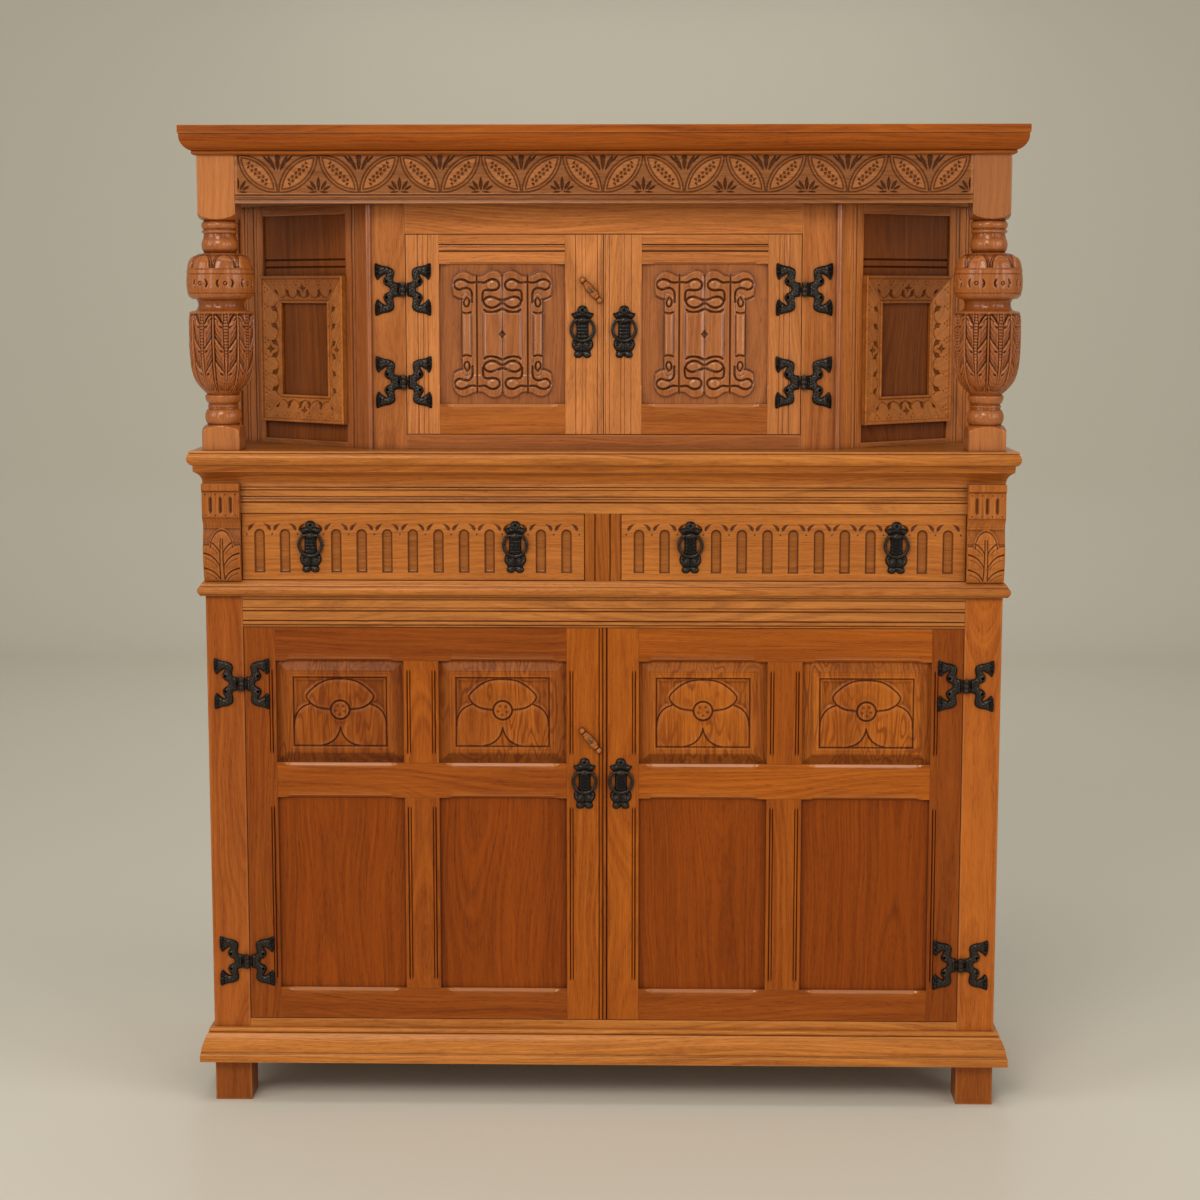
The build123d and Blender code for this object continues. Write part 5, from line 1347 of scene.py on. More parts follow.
scroll_eye = [(55.3, 57), (51.6, 54), (51, 48.5), (53, 43), (56.5, 42.2), (59.4, 45.5), (59.6, 51),
              (57.5, 54)]
hem_cut = [(76, 58.6), (71, 55.4), (66, 53.4), (61, 54)]
fold_end = [(49, 34), (52, 32.4), (55.5, 31.8), (59, 32.4), (62, 34)]


def swell(x, z, centre, size, top):
    """Height of an oval swelling."""
    away = ((x - centre[0]) / size[0]) ** 2 + ((z - centre[1]) / size[1]) ** 2
    return top * np.sqrt(unit(1 - away))


def linenfold(u, v):
    """Depth and wear of the panel; one corner is worked out and repeated over the other three."""
    x, z = np.abs(u - sum(upper_panel_x) / 2), np.abs(v - sum(upper_panel_z) / 2)
    edge_line = flowing(cloth_edge[2:-1])
    cloth = np.concatenate([cloth_edge[:2], edge_line, cloth_edge[-1:]])
    edge = off_line(edge_line, x, z) * np.where(within(cloth, x, z), 1, -1)
    height = 2.9 * unit(edge / 2.6 + 0.25)
    in_hem = within(flowing(curled_hem[2:25]), x, z)
    in_hem |= within(flowing([(30.5, 63.5), *curled_hem[2:24], (46.8, 63.5)]), x, z)
    height = height + 0.4 * in_hem
    for centre, size, top in (
        ((14.5, 76.5), (10.2, 8.2), 3.2), ((64.5, 77), (10.6, 8.0), 3.2),
        ((16.2, 49.6), (12.6, 8.4), 3.0), ((55.6, 48.5), (2.8, 4.8), 2.0),
    ):
        height = height + swell(x, z, centre, size, top)
    round_fold = np.sqrt(unit(1 - unit((x - 18) / 11) ** 2))
    height = height + 2.0 * round_fold * (z < 33.5 + 4 * unit(1 - x / 9)) * (x < 29)
    reed = (x - 55.4) / 6.6
    height = height + 2.6 * np.sqrt(unit(1 - reed**2)) * (z < 32.4)
    valley = 2.4 * unit(1 - x / 5.2) * (z < 91)
    crease = 1.2 * unit(1 - x / 1.2) * np.clip((z - 62) / 16, 0.25, 1) * (z < 93)
    height = height - valley - crease
    cuts = np.zeros(x.shape)
    for line, wide, deep in (
        (curled_hem, 2.0, 3.6), (second_fold, 2.0, 3.6), (last_fold, 1.9, 3.0), (scroll_top, 1.2, 1.0),
        (hem_cut, 1.6, 1.7),
        (fold_end, 1.8, 3.0), ([*scroll_eye, scroll_eye[0]], 1.5, 2.8), ([(39.5, -1), (39.5, 92)], 1.5, 2.8),
        ([(30.6, -1), (30.6, 54)], 0.9, 0.8), ([(47.4, -1), (47.4, 52)], 0.9, 0.9),
        ([(62.6, 0), (62.6, 40)], 0.9, 0.8),
    ):
        cuts = np.maximum(cuts, deep * unit(1 - off_line(flowing(line), x, z) / (wide + 0.5)))
    star = (x / 7.4) ** 0.85 + (z / 8.4) ** 0.85
    cuts = np.maximum(cuts, 2.2 * unit((1 - star) * 2.6))
    height = np.clip(height - cuts, -0.3, 6.2)
    # cut lines darkened: old wax and painted shade
    wear = hollows(-height, 2, 0.9, 0.0) - 0.62 * unit((cuts - 0.4) / 1.8)
    # sunk ground darker (painted shade), highest places paler where rubbed
    wear = wear - 0.1 * (edge < 0) + 0.25 * unit(height - 4.6)
    # ground darkest beside the raised cloth edge: painted shade
    wear = wear - 0.15 * np.exp(-np.clip(-edge, 0, None) / 2.2) * (edge < 0)
    # paler strips beside the centre valley: painted highlight
    wear = wear + 0.5 * ridge(x - 1.9, 1.3) * (z > 12) * (z < 88)
    return 6 - height, np.clip(wear, -1, 0.7)


def upper_upright(x_range, face_lines, beads, edge, way):
    """A door stile with beads for its whole height and a stopped chamfer beside the panel."""
    def cut(u, v):
        deep = np.zeros(u.shape)
        for place, width, depth in face_lines:
            deep = np.maximum(deep, quirk(u, place, width, depth))
        for low, high, drop in beads:
            deep = deep + bead(u, low, high, drop)
        inward = way * (u - edge)
        fall = np.clip(2.6 - inward, 0, 2.6) * stopped(v, upper_panel_z[0] + 20, upper_panel_z[1] - 20, 12)
        # dark quirks: old wax and painted shade in the grooves
        return np.maximum(deep, fall), 0.25 - 0.75 * unit(deep / 1.4)

    close = [(place - width, place + width, 0.35) for place, width, _ in face_lines]
    close += [(low, high, 0.5) for low, high, _ in beads] + [(edge - 3.4, edge + 3.4, 0.6)]
    low, high = upper_panel_z
    ends = [(low + 16, low + 34, 1.4), (high - 34, high - 16, 1.4)]
    return carved(grid_lines(*x_range, 12, *close), grid_lines(upper_low, upper_high, 40, *ends), cut,
                  facing(upper_front), door_thickness, "z")


def top_lines(v):
    """Depth of the three lines scratched along the top rail."""
    lines = ((15.6, 2.4, 2), (18.8, 1.3, 1), (25.4, 2.6, 2.2))
    return sum(quirk(v, upper_high - drop, width, depth) for drop, width, depth in lines)


panel_left, panel_right = upper_panel_x
upper_frame = [
    upper_upright((door_meeting, panel_left),
                  [(3.6, 1.1, 0.9), (9.2, 1.3, 1.1), (27.2, 1.2, 0.8), (33.0, 1.1, 0.8), (42.9, 1.4, 1.2)],
                  [(4.0, 8.8, 0.7), (33.4, 42.4, 0.9)], panel_left, -1),
    upper_upright((panel_right, upper_hanging), [(272.4, 1.2, 0.9), (279.4, 1.2, 0.9), (288.0, 1.4, 1.2)],
                  [(279.8, 287.6, 0.9)], panel_right, 1),
    rail(upper_panel_x, (upper_panel_z[1], upper_high), [(upper_panel_z[1], 1, *upper_panel_x)], upper_front,
         top_lines),
    rail(upper_panel_x, (upper_low, upper_panel_z[0]), [(upper_panel_z[0], -1, *upper_panel_x)], upper_front),
]
linen_panel = carved(grid_lines(*upper_panel_x, 0.7), grid_lines(*upper_panel_z, 0.7), linenfold,
                     facing(upper_front), 12, "z", 0.05)
upper_door_oak = oak("upper door oak", (0.70, 0.26, 0.072), (0.34, 0.105, 0.023), 0.3, coat=0.6)
foot_rail_oak = oak("upper foot rail oak", (0.47, 0.138, 0.025), (0.23, 0.056, 0.009), 0.2, coat=0.1)
linen_oak = oak("linenfold oak", (0.54, 0.20, 0.062), (0.28, 0.085, 0.022), 0.3, coat=1)
for side, pieces in hands:
    body = f"upper_{side}_door"
    put_together(f"upper_{side}_framing", toned([0.7, 0, 0], pieces(upper_frame[:3])), upper_door_oak, body,
                 [body + "_frame"])
    put_together(f"upper_{side}_foot_rail", pieces(upper_frame[3:]), foot_rail_oak, body, [body + "_frame"])
    put_together(f"upper_{side}_linenfold", pieces([linen_panel]), linen_oak, body, [body + "_panels"])

# ---- Canted sides ----------------------------------------------------------------------------
# The cupboard's corners are cut back at an angle: a framed board each side, with a mitred picture
# frame of carved moulding planted on it, beads over the joints and short straight returns behind.
cant = math.radians(40)
cant_length, cant_thickness = 309, 18
cant_x, cant_z = (54, 249), (1049, 1405)
corner_bead_radius, bead_turn = 4.5, math.radians(25)


def on_cant(u, v, deep):
    """Places on the right canted side: u along it, v up, deep into the wood."""
    x = upper_corner + u * math.cos(cant) - deep * math.sin(cant)
    y = upper_front + u * math.sin(cant) + deep * math.cos(cant)
    return np.stack([x, y, v + 0 * u], -1)


def beaded_stile(start, end, bead_at, back_in):
    """A canted stile scratched with a bead; back_in is how far its mitred back edges draw in."""
    across = np.linspace(start + 0.4, end - 0.4, int((end - start) / 0.6))
    deep = np.zeros(len(across))
    for centre in bead_at:
        for offset in (-3.6, 3.6):
            deep = np.maximum(deep, quirk(across, centre + offset, 1.6, 1.3))
        deep = deep + bead(across, centre - 3, centre + 3, 0.9)
    front_line = np.stack([across, deep], 1)
    behind = [[end, 0.4], [end - back_in[1], cant_thickness], [start + back_in[0], cant_thickness]]
    outline = np.concatenate([[[start, 0.4]], front_line, behind])
    # dark quirks: old wax and painted shade in the grooves
    wear = np.concatenate([[0.3], -unit(deep / 1.2), [0.3, 0, 0]])
    plan = on_cant(outline[:, 0], np.zeros(len(outline)), outline[:, 1])[:, :2]
    return standing(plan, shelf_top, soffit_bottom, wear)


def cant_lines(u, v):
    """Two lines scratched across the board over the picture frame."""
    deep = 4 + quirk(v, 1335, 3.4, 2.0) + quirk(v, 1323.5, 3.4, 2.0)
    # dark lines: old wax and painted shade in the grooves
    return deep, -unit((deep - 4) / 1.6)


def cant_plank(u_range, v_range, deep_range, along):
    """A plain board lying in the canted side."""
    points, *rest = plank(*zip(u_range, deep_range, v_range), along)
    return on_cant(points[:, 0], points[:, 2], points[:, 1]), *rest


cant_members = [
    beaded_stile(0, cant_x[0], (36,), (cant_thickness * math.tan(cant / 2), 0)),
    beaded_stile(cant_x[1], cant_length, (268, 290), (0, cant_thickness * math.tan(bead_turn))),
    cant_plank(cant_x, (shelf_top, cant_z[0]), (0, cant_thickness), "x"),
    cant_plank(cant_x, (cant_z[1], soffit_bottom), (0, cant_thickness), "x"),
]
# tones: right-hand stiles and boards paler and left-hand ones darker, painted light falling from the right
cant_members = toned([1.2, 1.0, 0.4, 0.4, -1.5, -0.8, -0.8, -0.8], both_sides(cant_members))
put_together("canted_frames", cant_members, shaded_oak, "carcase", ["cant_frames"])
cant_board = carved(
    grid_lines(*cant_x, 30), grid_lines(*cant_z, 60, (1320, 1338, 0.5)), cant_lines, on_cant, 14, "z", 0.05
)
cant_board_oak = oak("canted board oak", (0.35, 0.098, 0.014), (0.16, 0.038, 0.005), 0.2)
put_together("canted_boards", both_sides([cant_board]), cant_board_oak, "carcase", ["cant_boards"])

picture_low, picture_high, member_width = 1077, 1310, 43.5
picture_left, picture_right = cant_x
scallop_pitch, scallop_radius, scallop_line = 27.0, 14.6, 23.0


def scallop_cutting(run, across):
    """Chip-cut scallops that spread both ways from a small flower in the middle of a length."""
    out = np.abs(run)
    s = out - scallop_pitch * np.round(out / scallop_pitch)
    t = across - scallop_line
    away = np.hypot(s, t) - scallop_radius
    angle = np.degrees(np.arctan2(t, s))
    first = out < scallop_pitch / 2
    deep = 1.3 * unit(1 - np.abs(away) / 1.3) * (t > 3)
    thick = unit(np.minimum((angle + 4) / 22, (78 - angle) / 44))
    deep = np.maximum(deep, 3.2 * unit(thick - np.abs(away + 1.4) / 5.4) ** 0.5)
    gap = scallop_pitch / 2 - np.abs(s)
    for along, over, size in ((0, -7.5, 2.4), (3.8, -13.2, 2.4)):
        deep = np.maximum(deep, 1.3 * unit(1 - (np.abs(gap - along) + np.abs(t - over)) / size) ** 0.7)
    petal = np.minimum(np.abs(run) * 0.36 + np.abs(t + 2), np.abs(t + 2) * 0.36 + np.abs(run))
    star = np.hypot(run, t + 2)
    flower = 2.8 * unit(1 - petal / 3.9) ** 0.8 * (star < 9.5) * (star > 1.2)
    return np.maximum(deep, flower * first)


def picture_length(length, place):
    """One mitred length, sloping in from its outer bead to its inner bead."""
    shape = np.array([(0, -8.2), (0.8, -8.9), (2.5, -9), (4.2, -8.7), (5, -7.9), (5.5, -6.6), (6.3, -6.8),
                      (41, -0.4), (42, -0.1),
                      (42.4, -0.9), (43.4, -1.8), (44.6, -2.0), (46, -1.6), (47, -0.6)])

    def cut(u, v):
        run = (v - 0.5) * (length - 2 * u)
        u = u * shape[-1, 0] / member_width
        room = unit(np.minimum((u - 7.5) / 1.5, (40 - u) / 1.5))
        carving = scallop_cutting(run, u) * room * unit((length / 2 - u - np.abs(run) - 3) / 2)
        base = np.interp(u, shape[:, 0], shape[:, 1])
        # dark quirk lines beside both beads and dark chip cuts: old wax and painted shade
        lines = ridge(u - 5.6, 0.8) + ridge(u - 41.8, 0.9)
        return base + carving, np.clip(0.3 - 1.1 * unit(carving / 1.1) - 0.9 * lines, -1, 0.5)

    def at(u, v, deep):
        return place((v - 0.5) * (length - 2 * u), u, deep)

    across = grid_lines(0, member_width, 0.95)
    # rims darkened: dark mitre joints, and painted shade along the outer edges
    return carved(across, np.linspace(0, 1, int(length / 0.95)), cut, at, 4, "x", 0.15, -0.6)


wide, tall = picture_right - picture_left, picture_high - picture_low
centre_u, centre_v = (picture_left + picture_right) / 2, (picture_low + picture_high) / 2
picture_frame = [
    picture_length(wide, lambda run, u, deep: on_cant(centre_u + run, picture_low + u, deep)),
    picture_length(wide, lambda run, u, deep: on_cant(centre_u - run, picture_high - u, deep)),
    picture_length(tall, lambda run, u, deep: on_cant(picture_left + u, centre_v - run, deep)),
    picture_length(tall, lambda run, u, deep: on_cant(picture_right - u, centre_v + run, deep)),
]
# tones: each top length darker as painted shade on the downward-facing member, so the mitres show; side
# lengths paler
picture_frames = toned([1.0, -1.3, 1.3, 1.0] * 2, both_sides(picture_frame))
put_together("canted_picture_frames", picture_frames, carved_oak, "carcase", ["cant_mouldings"])

return_x, return_y = upper_corner + cant_length * math.cos(cant), upper_front + cant_length * math.sin(cant)
beads, bead_parts = [], 28
for x, y, turn in ((upper_corner, upper_front, 20), (return_x, return_y, 65)):
    turn = math.radians(turn)
    centre = np.array([x + 2.5 * math.sin(turn), y - 2.5 * math.cos(turn)])
    rounds = np.linspace(0, 2 * math.pi, bead_parts, endpoint=False)
    plan = centre + corner_bead_radius * np.stack([np.cos(rounds), np.sin(rounds)], 1)
    beads.append(standing(plan, shelf_top, frieze_low, np.zeros(bead_parts)))
bead_oak = oak("polished bead oak", (0.50, 0.165, 0.044), (0.27, 0.078, 0.017), 0.1, coat=0.9)
put_together("corner_beading", both_sides(beads), bead_oak, "carcase", ["corner_beads"])
return_inner = return_x - cant_thickness
return_plan = [
    (return_x, return_y), (return_x, back_board_front), (return_inner, back_board_front),
    (return_inner, return_y + cant_thickness * math.tan(bead_turn)),
]
side_returns = both_sides([standing(return_plan, shelf_top, soffit_bottom)])
put_together("side_return_boards", side_returns, frame_oak, "carcase", ["side_returns"])

# ---- Brackets --------------------------------------------------------------------------------
# Carved oak brackets planted on the post faces beside the drawers: a cap and a gouged block over
# a leaf that swells forward.
bracket_top = 991


def bracket_face(u, v):
    """How far each place stands proud, as a negative depth, less its carving."""
    known_z = [839, 846, 860, 878, 895, 910, 922, 925.5, 929, 934, 937.4, 938.2, 978.4, 979.2, 980, 991]
    known_out = [6.4, 9.2, 13.0, 14.8, 14.2, 11.8, 8.8, 8.4, 9.4, 12.6, 15.4, 15.9, 15.9, 17.6, 19.9, 19.9]
    base = np.interp(v, known_z, known_out)
    x = np.abs(u - pillar_x)
    carving = np.zeros(u.shape)
    for centre in (0, 15.5):
        gouge = np.hypot((x - centre) / 3.5, np.clip(np.abs(v - 957.5) - 8, 0, None) / 6.5)
        carving = np.maximum(carving, 2.2 * unit(1 - gouge**2))
    for dot_x in (7.75, 23.2):
        for dot_z in (974, 941.5):
            carving = np.maximum(carving, 1.7 * unit(1 - np.hypot(x - dot_x, v - dot_z) / 1.8))
    rise = v - waist_top
    leafing = rise < 84
    stem = 3.2 - 1.4 * unit(rise / 60)
    veins = np.zeros(u.shape)
    for root, lift in ((2, 20), (22, 24), (44, 22)):
        line = root + lift * (1 - np.exp(-np.clip(x - stem, 0, None) / 11))
        veins = np.maximum(veins, 2.4 * unit(1 - np.abs(rise - line) / 1.7) * (x > stem) * (x < 27.5))
        veins = np.maximum(veins, 1.1 * unit(1 - np.abs(rise - line + 7.5) / 1.3) * (x > stem + 4) * (x < 25))
    arch = np.hypot(x / 17, (rise - 52) / 27)
    veins = np.maximum(veins, 2.0 * unit(1 - np.abs(arch - 1) * 17 / 1.7) * (rise > 52))
    veins = np.maximum(veins, 1.8 * unit(1 - np.abs(x - stem) / 1.2) * (rise < 66))
    ground = 2.0 * unit((arch - 1.04) * 8) * (rise > 56)
    leaf = np.maximum(veins,
                      ground) + 0.9 * (np.abs((rise / 21) % 1 - 0.5) * 2) ** 2 * (x > stem) * (rise < 60)
    leaf = leaf * leafing * unit(rise / 2) * unit((84 - rise) / 3)
    step = ridge(v - 938, 1.2) + ridge(v - 978.8, 1.2) + 0.7 * ridge(v - 924.5, 1.6)
    deep = carving + leaf
    # dark hollows and dark creases at the steps: old wax and painted shade
    return deep - base, np.clip(hollows(deep, 2, 1.0, 0.1) - 0.6 * step, -1, 0.5)


bracket = carved(
    grid_lines(post_inner, half_width, 0.75), grid_lines(waist_top, bracket_top, 0.75),
    bracket_face, facing(front), 0, "z", 0.4,
)
put_together("leaf_brackets", toned([0.2, -0.7], both_sides([bracket])), carved_oak, "carcase", ["brackets"])

# ---- Hinges ----------------------------------------------------------------------------------
# Pairs of butterfly hinges in wrought iron. Each leaf curls into two fishtailed arms, filed to a
# soft ridge and nailed through an eye; three knuckles turn on a pin in front of the wood.


def forged(outline, rise, back=0.0, cell=0.8, along="z"):
    """A plate of this outline on an upright face; rise gives how far it stands out, and its wear."""
    low, high = outline.min(0) - cell / 2, outline.max(0) + cell / 2
    xs, zs = (np.arange(a, b + cell, cell) for a, b in zip(low, high))
    x, z = np.meshgrid(xs, zs, indexing="ij")
    index = np.arange(x.size).reshape(x.shape)
    kept = within(outline, x[:-1, :-1] + cell / 2, z[:-1, :-1] + cell / 2)
    cells = grid_cells(index)[kept]
    edges = np.concatenate([cells[:, [k, (k + 1) % 4]] for k in range(4)])
    code = edges[:, 0] * x.size + edges[:, 1]
    border = edges[~np.isin(code, edges[:, 1] * x.size + edges[:, 0])]
    used = np.unique(cells)
    renumber = np.zeros(x.size, int)
    renumber[used] = np.arange(len(used))
    cells, border = renumber[cells], renumber[border]
    x, z = x.ravel()[used], z.ravel()[used]
    inside, near_x, near_z = nearest(np.concatenate([outline, outline[:1]]), x, z)
    inside = np.where(within(outline, x, z), inside, 0)
    rim = np.unique(border)
    x[rim], z[rim], inside[rim] = near_x[rim], near_z[rim], 0
    height, wear = rise(x, z, inside)
    front_points, back_points = np.stack([x, -height, z], 1), np.stack([x, np.full(len(x), -back), z], 1)
    behind = cells[:, ::-1] + len(x)
    walls = np.stack([border[:, 1], border[:, 0], border[:, 0] + len(x), border[:, 1] + len(x)], 1)
    wear = np.concatenate([wear, np.zeros(len(x))])
    return wood(np.concatenate([front_points, back_points]), [np.concatenate([cells, behind, walls])], along,
                wear)


def spun(outline, axis="z", parts=26, wear=0.2):
    """A round piece: a loop of radius and height, or a line that starts and ends on the axis."""
    outline = np.array(outline, float)
    solid = outline[0, 0] == 0
    rings = outline[1:-1] if solid else outline
    turn = np.arange(parts) / parts * 2 * math.pi
    points = np.stack([rings[:, :1] * np.cos(turn), rings[:, :1] * np.sin(turn), rings[:, 1:] + 0 * turn], -1)
    index = np.arange(len(rings) * parts).reshape(-1, parts)
    beside = np.roll(index, -1, 1)
    rows = slice(0, -1) if solid else slice(None)
    above, above_beside = np.roll(index, -1, 0)[rows], np.roll(beside, -1, 0)[rows]
    faces = [np.stack([index[rows], beside[rows], above_beside, above], -1).reshape(-1, 4)]
    points = points.reshape(-1, 3)
    if solid:
        count = len(points)
        points = np.concatenate([points, [[0, 0, outline[0, 1]], [0, 0, outline[-1, 1]]]])
        faces.append(np.stack([beside[0], index[0], np.full(parts, count)], 1))
        faces.append(np.stack([index[-1], beside[-1], np.full(parts, count + 1)], 1))
    points = points[:, {"z": (0, 1, 2), "x": (2, 0, 1), "y": (1, 2, 0)}[axis]]
    return wood(points, faces, "z", wear)


def old_metal(name, black, brown, bright):
    """Metal with dark and brown patches, brighter where hands have rubbed it."""
    material, tree, shader = new_material(name)
    place = node(tree, "TexCoord").outputs["Object"]
    scale = drawn_noise(tree, place, (420, 420, 420), 3)
    hammer = drawn_noise(tree, place, (170, 170, 170), 1)
    wear = point_mark(tree, "wear")
    black, brown, bright = (*black, 1), (*brown, 1), (*bright, 1)
    colour = mixed(tree, spread(tree, scale, 0.35, 0.7), black, brown)
    colour = mixed(tree, spread(tree, wear, 0.0, 1.0, 0.0, 0.6), colour, bright)
    colour = mixed(tree, spread(tree, wear, -0.8, 0.0, 0.75, 0.0), colour, black)
    feed(tree, shader.inputs["Base Color"], colour)
    feed(tree, shader.inputs["Roughness"], spread(tree, scale, 0.3, 0.7, 0.36, 0.17))
    dented(tree, shader, maths(tree, "MULTIPLY_ADD", scale, 0.4, hammer), 0.5, 0.0007)
    shader.inputs["Metallic"].default_value = 0.55
    return material


iron = old_metal("blackened iron", (0.003, 0.0022, 0.0018), (0.013, 0.008, 0.005), (0.085, 0.062, 0.045))
knuckle_proud, knuckle_pitch, axis_offset = 4.5, 7.3, 4.5
hinge_heights = {"lower": (228.5, 675.5), "upper": (1145, 1288.1)}
hinge_axes = {"lower": (door_hanging + axis_offset, front),
              "upper": (upper_hanging + axis_offset, upper_front)}
upper_half = [
    (6, 10.8), (9.4, 10.8), (15.9, 12.5), (13.2, 26), (15.3, 31.8), (23.3, 35.6), (31.8, 36.4), (41.2, 40.6),
    (43.4, 40.4),
    (44.1, 31.8), (43.7, 21.6), (40.6, 14.6), (38.4, 15.0), (34.7, 19.3), (27.8, 23.9), (25, 23.4),
    (31.0, 14.6), (30.2, 9.0),
    (26.6, 5.4), (22.2, 4.0), (20.4, 1.6),
]
iron_share = 0.22
leaf_outline = flowing([*upper_half, *[(x, -z) for x, z in reversed(upper_half)]], True, iron_share)


def domed(inside, start, top, width):
    """Height over a plate that starts at its edge and rounds up to a soft top."""
    part = unit(inside / width)
    return start + (top - start) * np.sqrt(1 - (1 - part) ** 2)


def leaf_rise(x, z, inside):
    """Height and wear of a hinge leaf: a soft ridge, a nail's eye and a fluted tail."""
    z = np.abs(z)
    height = domed(inside, 1.0, 4.3, 5.2)
    eye = np.hypot(x - 25.6, z - 12.2)
    height = height + 1.0 * ridge(eye - 3.3, 1.1) - 2.4 * ridge(eye, 1.9)
    fan = np.degrees(np.arctan2(z - 27.5, x - 30.5))
    flutes = 0.5 + 0.5 * np.cos(fan / 15.5 * 2 * math.pi)
    height = height - 1.5 * flutes * unit((x - 33.5) / 4)
    for bar in (8.2, 12.6):
        height = height - 0.9 * ridge(x - bar, 0.8) * (z < 11)
    height = height + 0.35 * np.sin(x * 0.9 + z * 0.5) * np.sin(z * 0.8 - x * 0.3) * unit(inside / 2)
    height = np.clip(height, 0.7, 5.2)
    wear = np.clip((height - 3.4) * 0.45, 0, 0.8) - 0.9 * ridge(eye, 1.9) - 0.5 * ridge(inside, 0.8)
    return height, np.clip(wear, -1, 1)


bead_line = [(3.1, -3.5), (3.8, -3.2), (4.2, -2.2), (4.35, 0), (4.2, 2.2), (3.8, 3.2), (3.1, 3.5)]


def hinge_leaf(outer_knuckles):
    """One leaf: its pin is upright at nought, the leaf lies to the right and the wood is behind."""
    pieces = shifted([forged(leaf_outline, leaf_rise, back=0)], (0, knuckle_proud, 0))
    for level in (-knuckle_pitch, knuckle_pitch) if outer_knuckles else (0,):
        pieces += shifted([spun([*bead_line, (1.6, 3.5), (1.6, -3.5)], wear=0.45)], (0, 0, level))
        neck = plank((2.6, knuckle_proud - 3.2, level - 3.2), (8.5, knuckle_proud - 0.3, level + 3.2), "z",
                     0.4, 0.2)
        pieces.append(neck)
    if outer_knuckles:
        tall = knuckle_pitch * 1.5 + 0.3
        pieces.append(spun([(0, -tall), (1.1, -tall), (1.5, -tall + 0.5), (1.5, tall - 0.5), (1.1, tall),
                            (0, tall)]))
    return pieces


fixed_leaf, door_leaf = hinge_leaf(True), mirrored(hinge_leaf(False))


def hung(leaf, stage):
    """The leaf at both heights of a right-hand door."""
    axis_x, face = hinge_axes[stage]
    spots = [(axis_x, face - knuckle_proud, level) for level in hinge_heights[stage]]
    return [piece for spot in spots for piece in shifted(leaf, spot)]


fixed_leaves = both_sides([*hung(fixed_leaf, "lower"), *hung(fixed_leaf, "upper")])
put_together("post_hinge_leaves", fixed_leaves, iron, "carcase", ["fixed_hinge_leaves"])

# ---- Ring pulls ------------------------------------------------------------------------------
# A cast back plate with a crown, a plain tongue and a scrolled foot, an eye standing out of it,
# and a round wire ring that hangs in the eye. All are blackened like the hinges.
eye_proud, plate_above_eye = 4.7, 22.7
ring_wire, ring_reach, ring_below = 2.4, 17.8, 14.1
handle_places = {"lower": (28.5, front, 536.7), "upper": (32.3, upper_front, 1241)}
pull_offset, pull_height = 159.2, 909.8
half_plate = [
    (0, 0), (3.0, 0.2), (6.6, 2.4), (8.0, 6.4), (8.6, 9.2), (13.4, 11.4), (17.4, 11.8), (17.6, 14.2),
    (14.6, 18.6), (11.4, 21.4),
    (9.3, 24.2), (9.3, 49.0), (11.6, 50.8), (15.6, 53.6), (17.2, 58.6), (16.6, 63.8), (13.8, 68.2),
    (11.6, 71.0), (13.0, 73.4),
    (13.6, 77.6), (10.4, 80.9), (5.0, 81.0), (2.0, 79.6), (0, 77.2),
]
right_half = [(x, plate_above_eye - down) for x, down in half_plate]
plate_outline = flowing([*reversed(right_half), *[(-x, z) for x, z in right_half[1:-1]]], True, iron_share)


def plate_rise(x, z, inside):
    """Height and wear of a back plate: its crown, tongue and scrolls, flat where the ring lies."""
    x, down = np.abs(x), plate_above_eye - z
    height = domed(inside, 0.8, 3.4, 4.2)
    crown_eye = np.hypot(x, down - 7.2)
    height = height + 0.9 * ridge(crown_eye - 3.3, 1.1) - 2.0 * ridge(crown_eye, 1.7)
    height = height + 1.0 * ridge(np.hypot(x - 13.4, down - 14.2), 2.8)
    height = height - 1.1 * ridge(down - 11.2 - 0.12 * x, 1.0) * (x > 3)
    scroll = np.hypot(x - 9.8, down - 59.4)
    height = height + 1.2 * ridge(scroll - 4.6, 1.3) - 1.6 * ridge(scroll, 2.0) * (x > 2)
    height = height - 1.4 * ridge(down - 70.6, 1.3) - 1.2 * ridge(x, 1.2) * (down > 52)
    height = height + 0.9 * ridge(np.hypot(x - 7.0, down - 75.8), 3.0)
    height = height - 0.5 * (0.5 + 0.5 * np.cos((down - 25) / 5.2 * 2 * math.pi)) * (down > 26) * (down < 48)
    under_ring = np.abs(np.hypot(x, z + ring_below) - ring_reach) < ring_wire + 0.6
    height = np.where(under_ring | (x < 9) & (down > 18) & (down < 26), np.minimum(height, 1.7), height)
    height = np.clip(height, 0.6, 4.6)
    wear = np.clip((height - 2.9) * 0.5, 0, 0.8) - 0.5 * ridge(inside, 0.7)
    wear = wear - 0.6 * (down > 26) * (down < 48) * (x < 9)
    return height, np.clip(wear, -1, 1)


eye_line = [(4.0, -5.7), (4.7, -4.6), (4.2, -3.6), (4.5, -2), (4.9, 0), (4.5, 2), (4.2, 3.6), (4.7, 4.6),
            (4.0, 5.7)]
back_plate = shifted([forged(plate_outline, plate_rise)], (0, eye_proud, 0))
back_plate += [spun([*eye_line, (2.6, 5.7), (2.6, -5.7)], "x", 30, 0.5)]


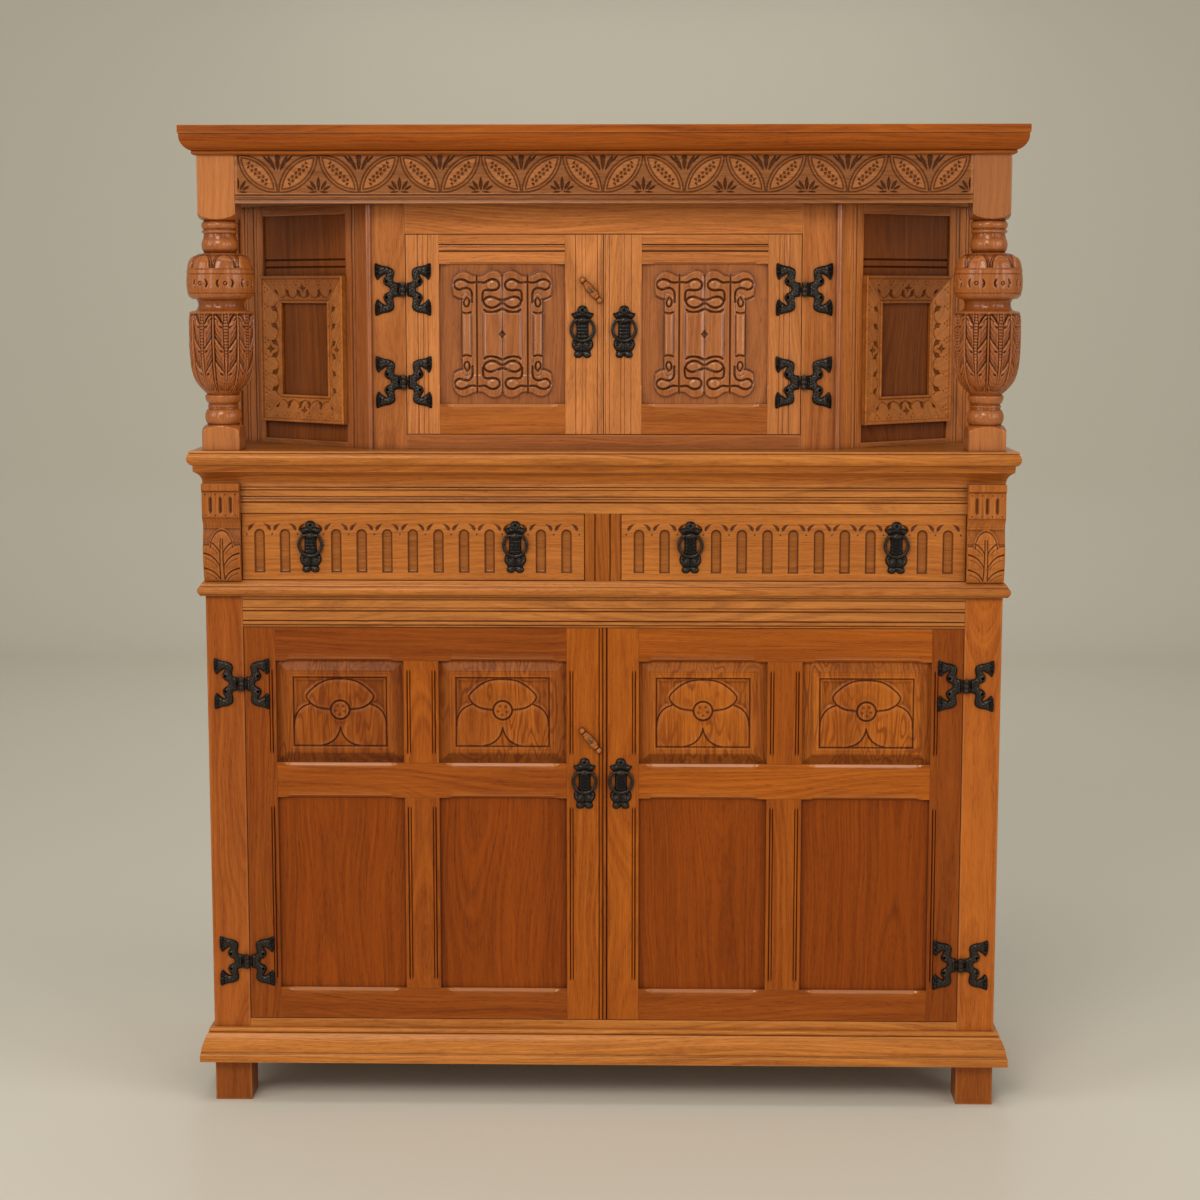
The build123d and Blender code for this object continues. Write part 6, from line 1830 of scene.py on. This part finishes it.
def wire_ring():
    """The ring and its straight bar as one closed wire round the front of the plate."""
    opening = math.asin(ring_below / ring_reach)
    turn = opening - np.linspace(0, math.pi + 2 * opening, 60)
    arc_line = np.stack([ring_reach * np.cos(turn), ring_reach * np.sin(turn) - ring_below], 1)
    bar = np.linspace(arc_line[-1], arc_line[0], 10)[1:-1]
    line = np.concatenate([arc_line, bar])
    way = np.roll(line, -1, 0) - np.roll(line, 1, 0)
    way /= np.hypot(*way.T)[:, None]
    thick = ring_wire + 0.4 * unit(-line[:, 1] / (ring_below + ring_reach))
    parts = 14
    round_way = np.arange(parts) / parts * 2 * math.pi
    side = np.stack([way[:, 1], 0 * way[:, 0], -way[:, 0]], 1)
    points = np.stack([line[:, 0], 0 * line[:, 0], line[:, 1]], 1)[:, None]
    out = np.cos(round_way)[:, None] * side[:, None] + np.sin(round_way)[:, None] * np.array([0, 1, 0])
    points = points + thick[:, None, None] * out
    index = np.arange(points.shape[0] * parts).reshape(-1, parts)
    beside, after = np.roll(index, -1, 1), np.roll(index, -1, 0)
    faces = np.stack([index, beside, np.roll(beside, -1, 0), after], -1).reshape(-1, 4)
    return wood(points.reshape(-1, 3), [faces], "z", 0.4)


ring = [wire_ring()]
for stage, (x, face, z) in handle_places.items():
    irons = [*hung(door_leaf, stage), *shifted(back_plate, (x, face - eye_proud, z))]
    hanging_ring = shifted(ring, (x, face - eye_proud, z))
    for side, pieces in hands:
        body = f"{stage}_{side}_door"
        put_together(f"{body}_ironwork", pieces(irons), iron, body, [body + "_irons"])
        put_together(f"{stage}_{side}_drop_ring", pieces(hanging_ring), iron, body + "_ring",
                     [f"{stage}_{side}_ring"])
for side, pieces in hands:
    plates = []
    for way, place in ((-1, "inner"), (1, "outer")):
        spot = (drawer_middle + way * pull_offset, front - eye_proud, pull_height)
        plates += shifted(back_plate, spot)
        put_together(f"{side}_{place}_pull_ring", pieces(shifted(ring, spot)), iron,
                     f"{side}_drawer_{place}_pull",
                     [f"{side}_drawer_{place}_ring"])
    put_together(f"{side}_pull_plates", pieces(plates), iron, f"{side}_drawer", [f"{side}_drawer_plates"])

# ---- Turn-buttons ----------------------------------------------------------------------------
# Small carved oak latches with a knob at each end, on a brass screw in the left-hand doors. Turned
# level, each laps over the right-hand door to keep the pair shut.
button_x, button_gap, button_tilt = 19, 0.3, math.radians(50)
button_heights = {"lower": (front, 587.7), "upper": (upper_front, 1287.2)}
button_end = [(25, 1.5), (23.6, 4.1), (20.4, 5.0), (17.2, 3.9), (14.6, 4.4), (9, 6.0)]
half_button = [*[(-x, z) for x, z in button_end], (0, 6.4), *reversed(button_end)]
button_outline = flowing([*[(x, -z) for x, z in half_button], *reversed(half_button)], True, 0.22)


def button_rise(x, z, inside):
    """Height and wear of a button: a knob at each end and a ring round the screw."""
    end = np.abs(x)
    height = domed(inside, 3.4, 6.6, 3.4)
    height = height + 1.0 * ridge(np.hypot(end - 20.6, z), 3.4)
    height = height - 1.9 * ridge(end - 16.2, 1.0) - 0.9 * ridge(np.hypot(x, z) - 5.6, 0.8)
    height = height - 0.8 * ridge(end - 10.5 - 0.35 * np.abs(z), 0.8)
    height = np.where(np.hypot(x, z) < 4.6, np.minimum(height, 6.4), height)
    # dark groove at each end: dust and painted shade
    return height, np.clip((height - 6.0) * 0.5 - 0.8 * ridge(end - 16.2, 1.2), -1, 0.7)


def tilted(pieces):
    """Turned in the plane of the door, down to the right."""
    along, aside = math.cos(button_tilt), math.sin(button_tilt)
    turn = np.array([[along, 0, -aside], [0, 1, 0], [aside, 0, along]])
    return [(points @ turn, *rest) for points, *rest in pieces]


def screw_rise(x, z, inside):
    """Height and wear of a domed screw head with its slot."""
    slot = unit((1.0 - np.abs(z)) / 0.3) * 0.8
    return domed(inside, 7.7, 9.0, 2.6) - slot, np.where(slot > 0.2, -0.8, 0.3)


rounds = np.linspace(0, 2 * math.pi, 30, endpoint=False)
screw_outline = 3.8 * np.stack([np.cos(rounds), np.sin(rounds)], 1)
brass = old_metal("old brass", (0.10, 0.05, 0.02), (0.26, 0.14, 0.05), (0.5, 0.3, 0.12))
button = tilted([forged(button_outline, button_rise, button_gap, 0.6, "x")])
screw = tilted([forged(screw_outline, screw_rise, 7.0, 0.4)])
for stage, (face, level) in button_heights.items():
    spot = (-button_x, face, level)
    put_together(f"{stage}_carved_button", shifted(button, spot), carved_oak, f"{stage}_latch",
                 [f"{stage}_turn_button"])
    put_together(f"{stage}_button_screw", shifted(screw, spot), brass, f"{stage}_left_door",
                 [f"{stage}_left_door_irons"])
